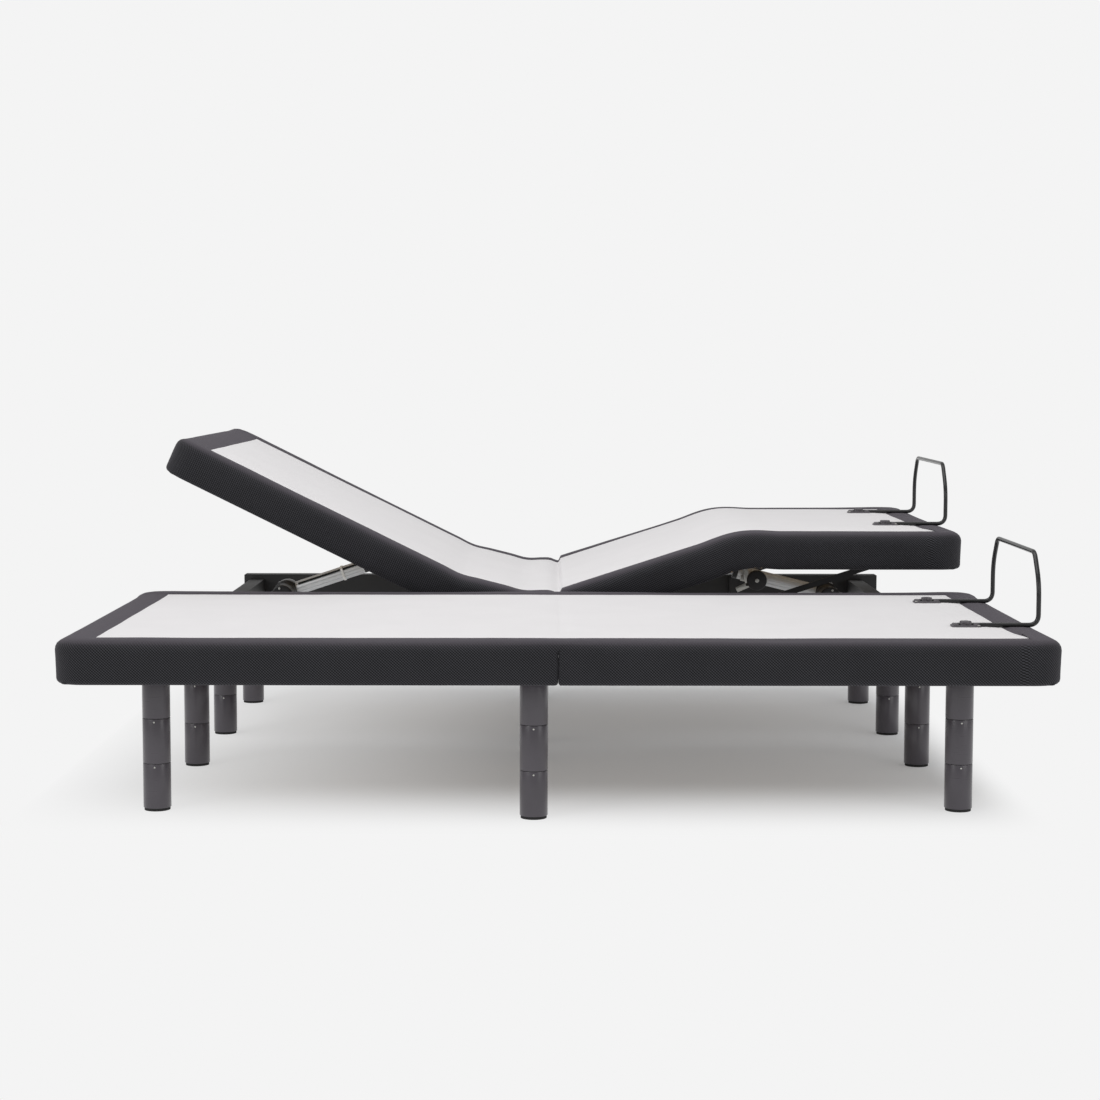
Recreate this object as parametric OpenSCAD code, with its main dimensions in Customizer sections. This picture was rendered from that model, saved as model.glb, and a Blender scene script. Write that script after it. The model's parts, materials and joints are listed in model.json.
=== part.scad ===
// Adjustable bed base, a pair of narrow units that stand side by side.
// Frame: +X from the head end to the foot end, +Z up, the origin on the floor
// under the middle of the pair. The front unit (-Y) lies flat and the rear
// unit (+Y) is drawn with its back and knees raised.
// Every unit folds on pins. An actuator under each half pushes a roller along
// a lift track, so its open end needs no pin of its own.

/* [Deck] */
// length of one unit from head end to foot end
unit_len = 2030; // [1880:10:2130]
// width of one unit
unit_w = 965; // [760:5:1000]
// free space between the two units
unit_gap = 10; // [4:1:40]
// height of the sleeping surface above the floor
deck_top = 384; // [300:1:450]
// height of the lower edge of the upholstered sides
skirt_bottom = 292; // [200:1:380]
// plan radius of the four outer corners
corner_r = 60; // [10:5:120]
// thickness of the foam and fabric
foam_t = 12; // [6:1:30]
// thickness of the deck boards
board_t = 15; // [9:1:22]

/* [Fold lines] */
// X of the hip pins, where seat and thigh section meet
hip_x = 0; // [-50:1:50]
// X of the pins between seat and lumbar section
lumbar_x = -84; // [-150:1:-60]
// X of the pins between lumbar and back section
back_x = -247; // [-400:1:-180]
// X of the pins under the knees
knee_x = 470; // [350:5:600]
// how far the pins lie below the sleeping surface
pin_drop = 22; // [20:1:40]
// the part of the back angle that the lumbar pins take
lumbar_share = 0.55; // [0.3:0.05:0.7]

/* [Drawn pose] */
// back angle of the front unit in degrees
front_back_angle = 0; // [0:1:60]
// thigh angle of the front unit in degrees
front_thigh_angle = 0; // [0:1:40]
// back angle of the rear unit in degrees
rear_back_angle = 26.3; // [0:0.1:60]
// thigh angle of the rear unit in degrees
rear_thigh_angle = 18; // [0:1:40]

/* [Travel] */
// largest back angle in degrees
back_max = 60; // [45:1:65]
// largest thigh angle in degrees
thigh_max = 40; // [30:1:45]

/* [Base frame] */
// distance of the side rails' centre lines from the unit's centre line
rail_y = 392; // [300:1:430]
// width of the side rails
rail_w = 40; // [30:1:60]
// height of the side rails
rail_h = 52; // [40:1:54]
// X of the rails' head end
rail_head_x = -877; // [-960:1:-800]
// X of the rails' foot end
rail_foot_x = 903; // [800:1:960]
// wall of all square tubes
tube_wall = 2; // [1.2:0.1:3]

/* [Legs] */
// diameter of the round legs
leg_d = 58; // [40:1:76]
// length of one leg segment
leg_segment = 95; // [60:1:150]
// thickness of the glide under a leg
glide_t = 5; // [2:1:10]
// X of the corner legs, to either side
corner_leg_x = 842; // [700:1:900]
// distance of the corner legs from the unit's centre line
corner_leg_y = 263; // [200:1:380]
// X of the middle legs
mid_leg_x = -50; // [-60:1:-45]
// distance of the middle legs from the unit's centre line
mid_leg_y = 345; // [250:1:380]

/* [Actuators] */
// distance of both fixed pivots from the middle of the unit
pivot_x = 760; // [700:1:800]
// height of both fixed pivots
pivot_z = 320; // [300:1:330]
// X of the back section's roller when the section is flat
back_roller_x = -400; // [-500:1:-350]
// X of the thigh section's roller when the section is flat
thigh_roller_x = 320; // [250:1:400]
// height of both rollers when the sections are flat
roller_z = 330; // [325:1:335]
// radius of the gear housing
gear_r = 32; // [25:1:33]
// outside diameter of the aluminium guide tube
guide_d = 36; // [30:1:40]
// diameter of the push rod
rod_d = 22; // [16:1:26]
// radial running clearance in every bore
run = 0.06; // [0.02:0.01:0.1]

/* [Retainer bar] */
// diameter of the bar
bar_d = 10; // [8:1:14]
// distance of its posts from the unit's centre line
bar_y = 240; // [150:1:300]
// height of the bar above the sleeping surface
bar_rise = 160; // [100:5:220]
// how far the upper corners are cut inwards
bar_corner = 48; // [0:1:80]
// how far the upper corners are cut downwards
bar_corner_drop = 62; // [0:1:80]

/* [Hidden] */
$fn = 64;
half_len = unit_len / 2;
half_w = unit_w / 2;
unit_y = half_w + unit_gap / 2;
pin_z = deck_top - pin_drop;
foam_bottom = deck_top - foam_t;
board_bottom = foam_bottom - board_t;
board_w = half_w - foam_t;
skirt_t = 12;
skirt_low = skirt_bottom + 4;
weld = 0.05;
tube_w = 25;
tube_low = board_bottom - 23;
tube_y = 290;
lug_r = 7;
pin_r = 3;
lug_reach = 14;
lug_low = tube_low + 10;
leg_top = 3 * leg_segment + glide_t;
plate_t = 4;
link_drop = 4.5;
rail_low = leg_top + plate_t;
rail_top = rail_low + rail_h;
cross_w = 40;
cross_top = rail_low + 39;
inner_rail = rail_y - rail_w / 2;
outer_rail = rail_y + rail_w / 2;
roller_r = 12;
roller_w = 34;
track_gap = 42;
track_t = 4;
track_low = roller_z - 16;
housing_x = 49;
back_rod_len = 240;
thigh_rod_len = 300;
back_guide_end = 275;
thigh_guide_end = 300;
bore_start = 48;
stay_len = knee_x - hip_x;
stay_x = 500;
stay_z = board_bottom - 13;
stay_y = 346;
stay_t = 6;
stay_pin_r = 5;
eye_r = 8;
clamp_x = 826;
clamp_len = 60;
bar_x = half_len - 6;
bar_z = deck_top + bar_d / 2;

sides = [-1, 1];
unit_side = [-1, 1];
back_angle = [front_back_angle, rear_back_angle];
thigh_angle = [front_thigh_angle, rear_thigh_angle];

// The half angle that each side of a fold line is cut back by.
lumbar_cut = back_max * lumbar_share / 2 + 1;
back_cut = back_max * (1 - lumbar_share) / 2 + 1;
thigh_cut = thigh_max / 2 + 1;

// A point [x, z] turned by angle a about the pin at c, head side up.
function turned(p, c, a) = [
    c[0] + (p[0] - c[0]) * cos(a) + (p[1] - c[1]) * sin(a),
    c[1] - (p[0] - c[0]) * sin(a) + (p[1] - c[1]) * cos(a)
];

// Where a unit's rollers stand in the drawn pose.
function back_roller(u) = turned(
    turned([back_roller_x, roller_z], [back_x, pin_z], (1 - lumbar_share) * back_angle[u]),
    [lumbar_x, pin_z],
    lumbar_share * back_angle[u]
);
function thigh_roller(u) = turned([thigh_roller_x, roller_z], [hip_x, pin_z], -thigh_angle[u]);

// The reach and the tilt of each actuator in the drawn pose.
function back_reach(u) = norm(back_roller(u) - [-pivot_x, pivot_z]);
function back_tilt(u) = atan2(back_roller(u)[1] - pivot_z, back_roller(u)[0] + pivot_x);
function thigh_reach(u) = norm(thigh_roller(u) - [pivot_x, pivot_z]);
function thigh_tilt(u) = atan2(thigh_roller(u)[1] - pivot_z, pivot_x - thigh_roller(u)[0]);

// ---- placing -------------------------------------------------------------

module in_unit(u)
{
    translate([0, unit_side[u] * unit_y, 0])
        children();
}

// Turns its children about the pin line at x, head side up for a positive angle.
module turn_about(x, a)
{
    translate([x, 0, pin_z])
        rotate([0, a, 0])
            translate([-x, 0, -pin_z])
                children();
}

module lumbar_pose(u)
{
    in_unit(u)
        turn_about(lumbar_x, lumbar_share * back_angle[u])
            children();
}

module back_pose(u)
{
    lumbar_pose(u)
        turn_about(back_x, (1 - lumbar_share) * back_angle[u])
            children();
}

module thigh_pose(u)
{
    in_unit(u)
        turn_about(hip_x, -thigh_angle[u])
            children();
}

module calf_pose(u)
{
    thigh_pose(u)
        turn_about(knee_x, thigh_angle[u])
            children();
}

// An actuator is drawn along +X from its fixed pivot at the origin.
module back_actuator_pose(u)
{
    in_unit(u)
        translate([-pivot_x, 0, pivot_z])
            rotate([0, -back_tilt(u), 0])
                children();
}

module thigh_actuator_pose(u)
{
    in_unit(u)
        translate([pivot_x, 0, pivot_z])
            rotate([0, thigh_tilt(u), 0])
                mirror([1, 0, 0])
                    children();
}

// ---- shared shapes -------------------------------------------------------

// A side profile in X and Z, as thick as from y0 to y1.
module slab(y0, y1)
{
    translate([0, y1, 0])
        rotate([90, 0, 0])
            linear_extrude(y1 - y0)
                children();
}

module rod_y(r, y0, y1)
{
    translate([0, y0, 0])
        rotate([-90, 0, 0])
            cylinder(r = r, h = y1 - y0);
}

module rod_x(r, x0, x1)
{
    translate([x0, 0, 0])
        rotate([0, 90, 0])
            cylinder(r = r, h = x1 - x0);
}

// A rectangular tube along X, open at both ends.
module beam_x(x0, x1, y0, y1, z0, z1)
{
    difference() {
        translate([x0, y0, z0])
            cube([x1 - x0, y1 - y0, z1 - z0]);
        translate([x0 - 1, y0 + tube_wall, z0 + tube_wall])
            cube([x1 - x0 + 2, y1 - y0 - 2 * tube_wall, z1 - z0 - 2 * tube_wall]);
    }
}

// A rectangular tube along Y, open at both ends.
module beam_y(x0, x1, y0, y1, z0, z1)
{
    difference() {
        translate([x0, y0, z0])
            cube([x1 - x0, y1 - y0, z1 - z0]);
        translate([x0 + tube_wall, y0 - 1, z0 + tube_wall])
            cube([x1 - x0 - 2 * tube_wall, y1 - y0 + 2, z1 - z0 - 2 * tube_wall]);
    }
}

// The side profile of a deck section between two fold lines. g is the gap at
// each pin line; the cuts open by an angle above or below the pins.
module section_profile(x0, x1, low, high, g, up0, down0, up1, down1)
{
    polygon([
        [x0 + g + (pin_z - low) * tan(down0), low],
        [x0 + g, pin_z],
        [x0 + g + (high - pin_z) * tan(up0), high],
        [x1 - g - (high - pin_z) * tan(up1), high],
        [x1 - g, pin_z],
        [x1 - g - (pin_z - low) * tan(down1), low]
    ]);
}

// The plan of a whole unit, pulled in by d on every side.
module unit_plan(d)
{
    r = corner_r - d;
    square([2 * (half_len - d), 2 * (half_w - d - r)], center = true);
    square([2 * (half_len - d - r), 2 * (half_w - d)], center = true);
    for (i = sides, j = sides)
        translate([i * (half_len - d - r), j * (half_w - d - r)])
            circle(r = r);
}

// A deck board with the skirt boards that stand below its edges.
module section_panel(x0, x1, up0, down0, up1, down1)
{
    difference() {
        intersection() {
            slab(-board_w, board_w)
                section_profile(x0, x1, skirt_low, foam_bottom, 8, up0, down0, up1, down1);
            linear_extrude(deck_top + 100)
                unit_plan(foam_t + weld);
        }
        translate([0, 0, -1])
            linear_extrude(board_bottom + 1)
                unit_plan(foam_t + skirt_t);
    }
}

// The foam and fabric over the board and down the outside of the skirts.
module section_pad(x0, x1, up0, down0, up1, down1)
{
    difference() {
        intersection() {
            slab(-half_w, half_w)
                section_profile(x0, x1, skirt_bottom, deck_top, 1, up0, down0, up1, down1);
            linear_extrude(deck_top + 100)
                unit_plan(0);
        }
        translate([0, 0, -1])
            linear_extrude(foam_bottom + weld + 1)
                unit_plan(foam_t);
    }
}

// The plate that closes a tube's end and carries its lugs.
module end_plate(s)
{
    translate([s > 0 ? lug_reach : -lug_reach - 3, -tube_w / 2, tube_low - pin_z])
        cube([3, tube_w, board_bottom - tube_low - weld]);
}

// The foot of a lug, from its eye to the end plate.
module lug_foot(s, y0, y1)
{
    translate([s > 0 ? 0 : -lug_reach - 1, y0, lug_low - pin_z])
        cube([lug_reach + 1, y1 - y0, board_bottom - lug_low - weld]);
}

// The middle lug of a pin line; s is the side that its section is on.
module middle_lug(x, s, side)
{
    translate([x, side * (tube_y + tube_w / 2), pin_z])
        difference() {
            union() {
                rod_y(lug_r, -3.5, 3.5);
                lug_foot(s, -3.5, 3.5);
                end_plate(s);
            }
            rod_y(pin_r + run, -4, 4);
        }
}

// The fork of a pin line with its pin; s is the side that its section is on.
module fork_lug(x, s, side)
{
    translate([x, side * (tube_y + tube_w / 2), pin_z]) {
        for (e = sides) {
            translate([0, e * 8, 0])
                rod_y(lug_r, -4, 4);
            lug_foot(s, e * 8 - 4, e * 8 + 4);
        }
        end_plate(s);
        rod_y(pin_r, -12, 12);
    }
}

module long_tubes(x0, x1)
{
    for (s = sides)
        beam_x(x0, x1, s > 0 ? tube_y : -tube_y - tube_w, s > 0 ? tube_y + tube_w : -tube_y, tube_low, board_bottom - weld);
}

module between_tubes(x0, x1)
{
    beam_y(x0, x1, -tube_y + weld, tube_y - weld, tube_low, board_bottom - weld);
}

// The track that a roller pushes on: two side plates under a top plate.
module lift_track(x0, x1)
{
    for (s = sides)
        translate([x0, s > 0 ? track_gap / 2 : -track_gap / 2 - track_t, track_low])
            cube([x1 - x0, track_t, board_bottom - weld - track_low]);
    translate([x0, -track_gap / 2 - track_t, board_bottom - weld - 3.5])
        cube([x1 - x0, track_gap + 2 * track_t, 3.5]);
}

// ---- legs ----------------------------------------------------------------

// Stands its children under all twelve leg plates.
module at_legs()
{
    for (u = [0, 1])
        in_unit(u)
            for (s = sides) {
                for (e = sides)
                    translate([e * corner_leg_x, s * corner_leg_y, 0])
                        children();
                translate([mid_leg_x, s * mid_leg_y, 0])
                    children();
            }
}

// A tube segment with closed ends, a stud on top and a threaded hole below.
module leg_body(stud)
{
    difference() {
        union() {
            cylinder(d = leg_d, h = leg_segment);
            cylinder(r = 6, h = leg_segment + stud);
        }
        translate([0, 0, 5])
            cylinder(d = leg_d - 5, h = leg_segment - 10);
        translate([0, 0, -1])
            cylinder(r = 6 + run, h = 10);
    }
}

module leg_segments(level, stud)
{
    color([0.16, 0.16, 0.17])
        at_legs()
            translate([0, 0, glide_t + level * leg_segment])
                leg_body(stud);
}

module leg_glides()
{
    color([0.08, 0.08, 0.08])
        at_legs() {
            cylinder(d = leg_d - 4, h = glide_t - weld);
            cylinder(r = 6, h = glide_t + 8);
        }
}

// ---- base frame ----------------------------------------------------------

module side_rails(x0, x1)
{
    for (s = sides)
        beam_x(x0, x1, s > 0 ? inner_rail : -outer_rail, s > 0 ? outer_rail : -inner_rail, rail_low, rail_top);
}

module cross_tube(x)
{
    beam_y(x - cross_w / 2, x + cross_w / 2, -inner_rail + weld, inner_rail - weld, rail_low, cross_top);
}

// A welded plate with the hole that takes a leg's top stud.
module leg_plate(x, y)
{
    difference() {
        translate([x - 45, y - 45, leg_top + weld])
            cube([90, 90, plate_t - 2 * weld]);
        translate([x, y, leg_top - 1])
            cylinder(r = 6 + run, h = plate_t + 2);
    }
}

// Two ears on the end cross tube, with the pin that an actuator turns on.
module pivot_bracket(s)
{
    reach = corner_leg_x - cross_w / 2 - pivot_x - weld;
    translate([s * pivot_x, 0, pivot_z]) {
        for (e = sides)
            translate([0, e * 14, 0]) {
                rod_y(10, -2.5, 2.5);
                translate([s > 0 ? 0 : -reach, -2.5, -10])
                    cube([reach, 5, 20]);
            }
        rod_y(6, -18, 18);
    }
}

// Carries the seat board and the hip and lumbar pins.
module seat_bearers()
{
    for (s = sides) {
        beam_x(lumbar_x + lug_reach, hip_x - lug_reach, s > 0 ? tube_y : -tube_y - tube_w, s > 0 ? tube_y + tube_w : -tube_y, cross_top + weld, board_bottom - weld);
        middle_lug(lumbar_x, 1, s);
        middle_lug(hip_x, -1, s);
    }
}

module head_frame(u)
{
    color([0.07, 0.07, 0.08])
        in_unit(u) {
            side_rails(rail_head_x, -1);
            cross_tube(-corner_leg_x);
            cross_tube(mid_leg_x);
            for (s = sides) {
                leg_plate(-corner_leg_x, s * corner_leg_y);
                leg_plate(mid_leg_x, s * mid_leg_y);
            }
            pivot_bracket(-1);
            seat_bearers();
        }
}

// The fixed lugs that the calf stays turn on.
module stay_posts()
{
    for (s = sides) {
        translate([stay_x - 12, s > 0 ? stay_y + stay_t + 1 : -stay_y - stay_t - 6, rail_low])
            cube([24, 5, stay_z + 8 - rail_low]);
        translate([stay_x - 12, s > 0 ? stay_y + stay_t + 5 : -inner_rail + weld, rail_low])
            cube([24, inner_rail - stay_y - stay_t - 5 - weld, 30]);
        translate([stay_x, 0, stay_z])
            rod_y(stay_pin_r, s > 0 ? stay_y - 2 : -stay_y - stay_t - 2, s > 0 ? stay_y + stay_t + 2 : -stay_y + 2);
    }
}

module foot_frame(u)
{
    color([0.07, 0.07, 0.08])
        in_unit(u) {
            side_rails(1, rail_foot_x);
            cross_tube(corner_leg_x);
            cross_tube(220);
            for (s = sides)
                leg_plate(corner_leg_x, s * corner_leg_y);
            pivot_bracket(1);
            stay_posts();
        }
}

// Plates that join the two halves of each base frame.
module frame_joint_plates()
{
    color([0.1, 0.1, 0.11])
        for (u = [0, 1], s = sides)
            in_unit(u) {
                translate([-70, s > 0 ? outer_rail + weld : -outer_rail - 5 - weld, rail_low + 4])
                    cube([140, 5, rail_h - 8]);
                for (x = [-55, -20, 20, 55])
                    translate([x, s * (outer_rail + 5), rail_low + rail_h / 2])
                        rod_y(6, s > 0 ? 0 : -5, s > 0 ? 5 : 0);
            }
}

// Flat straps on spacers under the neighbouring rails, which keep the units
// together and stay below the moving skirts.
module unit_link_plates()
{
    color([0.1, 0.1, 0.11])
        for (x = [-600, 600]) {
            translate([x - 30, -unit_y + inner_rail, rail_low - link_drop - plate_t])
                cube([60, 2 * (unit_y - inner_rail), plate_t]);
            for (s = sides)
                translate([x, s * (unit_y - rail_y), rail_low - link_drop - plate_t - 3])
                    cylinder(r = 8, h = link_drop + plate_t + 3 - weld);
        }
}

module control_box(u)
{
    color([0.09, 0.09, 0.1])
        in_unit(u)
            difference() {
                translate([-170, -110, rail_low + 4])
                    cube([170 + mid_leg_x - cross_w / 2 - weld, 220, 34]);
                for (y = [-75, -45, -15, 15])
                    translate([0, y, rail_low + 21])
                        rod_x(6, -171, -158);
            }
}

// ---- deck sections -------------------------------------------------------

module seat_panel(u)
{
    color([0.72, 0.58, 0.42])
        in_unit(u)
            section_panel(lumbar_x, hip_x, 0, 0, 0, 0);
}

module seat_pad(u)
{
    color([0.2, 0.2, 0.22])
        in_unit(u)
            section_pad(lumbar_x, hip_x, lumbar_cut, 0, thigh_cut, 0);
}

module lumbar_links(u)
{
    color([0.07, 0.07, 0.08])
        lumbar_pose(u) {
            long_tubes(back_x + lug_reach, lumbar_x - lug_reach);
            for (s = sides) {
                fork_lug(lumbar_x, -1, s);
                middle_lug(back_x, 1, s);
            }
        }
}

module lumbar_panel(u)
{
    color([0.72, 0.58, 0.42])
        lumbar_pose(u)
            section_panel(back_x, lumbar_x, 0, 0, 0, 0);
}

module lumbar_pad(u)
{
    color([0.2, 0.2, 0.22])
        lumbar_pose(u)
            section_pad(back_x, lumbar_x, back_cut, 0, lumbar_cut, 0);
}

module back_frame(u)
{
    track = [back_roller_x - 80, back_roller_x + 72];
    color([0.07, 0.07, 0.08])
        back_pose(u) {
            long_tubes(-900, back_x - lug_reach);
            between_tubes(track[1] + weld, track[1] + 25);
            between_tubes(-899, -874);
            lift_track(track[0], track[1]);
            for (s = sides)
                fork_lug(back_x, -1, s);
        }
}

module back_panel(u)
{
    color([0.72, 0.58, 0.42])
        back_pose(u)
            section_panel(-half_len - 100, back_x, 0, 0, 0, 0);
}

module back_pad(u)
{
    color([0.2, 0.2, 0.22])
        back_pose(u)
            section_pad(-half_len - 100, back_x, 0, 0, back_cut, 0);
}

module thigh_frame(u)
{
    track = [thigh_roller_x - 54, thigh_roller_x + 72];
    color([0.07, 0.07, 0.08])
        thigh_pose(u) {
            long_tubes(hip_x + lug_reach, knee_x - lug_reach);
            between_tubes(track[0] - 25, track[0] - weld);
            lift_track(track[0], track[1]);
            for (s = sides) {
                fork_lug(hip_x, 1, s);
                middle_lug(knee_x, -1, s);
            }
        }
}

module thigh_panel(u)
{
    color([0.72, 0.58, 0.42])
        thigh_pose(u)
            section_panel(hip_x, knee_x, 0, 0, 0, thigh_cut);
}

module thigh_pad(u)
{
    color([0.2, 0.2, 0.22])
        thigh_pose(u)
            section_pad(hip_x, knee_x, thigh_cut, 0, 0, thigh_cut);
}

// The lower bracket that a calf stay holds the calf section by.
module stay_hanger(side)
{
    x = stay_x + stay_len;
    inner = stay_y + stay_t + 1;
    translate([x - 15, side > 0 ? inner : -inner - 5, stay_z - 8])
        cube([30, 5, board_bottom - weld - stay_z + 8]);
    translate([x - 15, side > 0 ? tube_y + tube_w + weld : -inner - 5, board_bottom - weld - 4])
        cube([30, inner + 5 - tube_y - tube_w - weld, 4]);
    translate([x, 0, stay_z])
        rod_y(stay_pin_r, side > 0 ? stay_y - 2 : -inner - 2, side > 0 ? inner + 2 : -stay_y + 2);
}

module calf_frame(u)
{
    color([0.07, 0.07, 0.08])
        calf_pose(u) {
            long_tubes(knee_x + lug_reach, half_len - 28);
            between_tubes(half_len - 95, half_len - 70);
            for (s = sides) {
                fork_lug(knee_x, 1, s);
                stay_hanger(s);
            }
        }
}

module calf_panel(u)
{
    color([0.72, 0.58, 0.42])
        calf_pose(u)
            section_panel(knee_x, half_len + 100, 0, thigh_cut, 0, 0);
}

module calf_pad(u)
{
    color([0.2, 0.2, 0.22])
        calf_pose(u)
            section_pad(knee_x, half_len + 100, 0, thigh_cut, 0, 0);
}

// Parallel bars from the base frame that keep the calf section level.
module calf_stays(u)
{
    color([0.06, 0.06, 0.07])
        in_unit(u)
            for (s = sides)
                translate([stay_x, s > 0 ? stay_y : -stay_y - stay_t, stay_z])
                    rotate([0, -thigh_angle[u], 0])
                        difference() {
                            union() {
                                translate([0, 0, -7])
                                    cube([stay_len, stay_t, 14]);
                                for (x = [0, stay_len])
                                    translate([x, 0, 0])
                                        rod_y(eye_r, 0, stay_t);
                            }
                            for (x = [0, stay_len])
                                translate([x, 0, 0])
                                    rod_y(stay_pin_r + run, -1, stay_t + 1);
                        }
}

// ---- mattress retainer ---------------------------------------------------

module bar_clamps(u)
{
    color([0.2, 0.2, 0.21])
        calf_pose(u)
            for (s = sides)
                translate([clamp_x, s * bar_y, deck_top + weld])
                    difference() {
                        union() {
                            translate([0, -15, 0])
                                cube([clamp_len, 30, 5]);
                            translate([8, -9, 0])
                                cube([44, 18, 12]);
                            translate([clamp_len / 2, 0, 0])
                                cylinder(r = 11, h = 17);
                        }
                        translate([0, 0, bar_d / 2 - weld])
                            rod_x(bar_d / 2 + weld, 9, clamp_len + 1);
                    }
}

module bar_piece(a, b)
{
    d = b - a;
    len = norm(d);
    translate(a)
        rotate([0, acos(d[2] / len), atan2(d[1], d[0])])
            cylinder(d = bar_d, h = len);
    translate(b)
        sphere(d = bar_d);
}

module retainer_bar(u)
{
    top = deck_top + bar_rise - bar_d / 2;
    color([0.12, 0.12, 0.13])
        calf_pose(u) {
            for (s = sides) {
                bar_piece([clamp_x + 12, s * bar_y, bar_z], [bar_x - 14, s * bar_y, bar_z]);
                bar_piece([bar_x - 14, s * bar_y, bar_z], [bar_x, s * bar_y, bar_z + 14]);
                bar_piece([bar_x, s * bar_y, bar_z + 14], [bar_x, s * bar_y, top - bar_corner_drop]);
                bar_piece([bar_x, s * bar_y, top - bar_corner_drop], [bar_x, s * (bar_y - bar_corner), top]);
            }
            bar_piece([bar_x, bar_corner - bar_y, top], [bar_x, bar_y - bar_corner, top]);
        }
}

// ---- actuators, along +X from the fixed pivot ----------------------------

// Gear housing with its tail eye, and the motor that stands out sideways.
module motor()
{
    difference() {
        union() {
            translate([housing_x, 0, 0])
                rod_y(gear_r, -26, 26);
            translate([0, -8, -13])
                cube([housing_x, 16, 26]);
            rod_y(13, -8, 8);
            translate([housing_x, 0, 0])
                rod_y(gear_r - 4, -120, -25);
            translate([housing_x, 0, 0])
                rod_y(gear_r - 9, 25, 31);
        }
        rod_y(6 + run, -9, 9);
        rod_x(rod_d / 2 + run, bore_start, housing_x + gear_r + 1);
        translate([housing_x + 27, -27, -27])
            cube([20, 54, 54]);
    }
}

module guide_tube(end)
{
    difference() {
        rod_x(guide_d / 2, housing_x + 27 + weld, end);
        rod_x(rod_d / 2 + run, housing_x, end + 1);
    }
}

// The push rod with its end eye, cross pin and pair of roller halves.
module push_rod(reach, length)
{
    rod_x(rod_d / 2, reach - length, reach - roller_r + 2);
    translate([reach, 0, 0]) {
        rod_y(roller_r, -roller_w / 2, roller_w / 2);
        rod_y(5, -track_gap / 2 + 1, track_gap / 2 - 1);
    }
}

module back_motor(u)
{
    color([0.05, 0.05, 0.06])
        back_actuator_pose(u)
            motor();
}

module back_guide_tube(u)
{
    color([0.66, 0.67, 0.69])
        back_actuator_pose(u)
            guide_tube(back_guide_end);
}

module back_push_rod(u)
{
    color([0.7, 0.7, 0.72])
        back_actuator_pose(u)
            push_rod(back_reach(u), back_rod_len);
}

// The end switch's lead, tied along the side of the guide tube.
module switch_lead(u)
{
    color([0.04, 0.04, 0.05])
        back_actuator_pose(u)
            translate([0, -17.1, 11.5])
                rod_x(2.5, housing_x + 36, back_guide_end - 6);
}

module thigh_motor(u)
{
    color([0.05, 0.05, 0.06])
        thigh_actuator_pose(u)
            motor();
}

module thigh_guide_tube(u)
{
    color([0.66, 0.67, 0.69])
        thigh_actuator_pose(u)
            guide_tube(thigh_guide_end);
}

module thigh_push_rod(u)
{
    color([0.7, 0.7, 0.72])
        thigh_actuator_pose(u)
            push_rod(thigh_reach(u), thigh_rod_len);
}

// ---- the object ----------------------------------------------------------

leg_segments(2, plate_t - 1);  // leg_top_segments
leg_segments(1, 8);  // leg_middle_segments
leg_segments(0, 8);  // leg_bottom_segments
leg_glides();
frame_joint_plates();
unit_link_plates();

head_frame(0);  // front_head_frame
foot_frame(0);  // front_foot_frame
control_box(0);  // front_control_box
seat_panel(0);  // front_seat_panel
seat_pad(0);  // front_seat_pad
lumbar_links(0);  // front_lumbar_links
lumbar_panel(0);  // front_lumbar_panel
lumbar_pad(0);  // front_lumbar_pad
back_frame(0);  // front_back_frame
back_panel(0);  // front_back_panel
back_pad(0);  // front_back_pad
thigh_frame(0);  // front_thigh_frame
thigh_panel(0);  // front_thigh_panel
thigh_pad(0);  // front_thigh_pad
calf_frame(0);  // front_calf_frame
calf_panel(0);  // front_calf_panel
calf_pad(0);  // front_calf_pad
calf_stays(0);  // front_calf_stays
bar_clamps(0);  // front_bar_clamps
retainer_bar(0);  // front_retainer_bar
back_motor(0);  // front_back_motor
back_guide_tube(0);  // front_back_guide_tube
back_push_rod(0);  // front_back_push_rod
switch_lead(0);  // front_switch_lead
thigh_motor(0);  // front_thigh_motor
thigh_guide_tube(0);  // front_thigh_guide_tube
thigh_push_rod(0);  // front_thigh_push_rod

head_frame(1);  // rear_head_frame
foot_frame(1);  // rear_foot_frame
control_box(1);  // rear_control_box
seat_panel(1);  // rear_seat_panel
seat_pad(1);  // rear_seat_pad
lumbar_links(1);  // rear_lumbar_links
lumbar_panel(1);  // rear_lumbar_panel
lumbar_pad(1);  // rear_lumbar_pad
back_frame(1);  // rear_back_frame
back_panel(1);  // rear_back_panel
back_pad(1);  // rear_back_pad
thigh_frame(1);  // rear_thigh_frame
thigh_panel(1);  // rear_thigh_panel
thigh_pad(1);  // rear_thigh_pad
calf_frame(1);  // rear_calf_frame
calf_panel(1);  // rear_calf_panel
calf_pad(1);  // rear_calf_pad
calf_stays(1);  // rear_calf_stays
bar_clamps(1);  // rear_bar_clamps
retainer_bar(1);  // rear_retainer_bar
back_motor(1);  // rear_back_motor
back_guide_tube(1);  // rear_back_guide_tube
back_push_rod(1);  // rear_back_push_rod
switch_lead(1);  // rear_switch_lead
thigh_motor(1);  // rear_thigh_motor
thigh_guide_tube(1);  // rear_thigh_guide_tube
thigh_push_rod(1);  // rear_thigh_push_rod
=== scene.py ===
import json
import math

import bpy
import numpy as np
from mathutils import Matrix, Vector, noise


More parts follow.
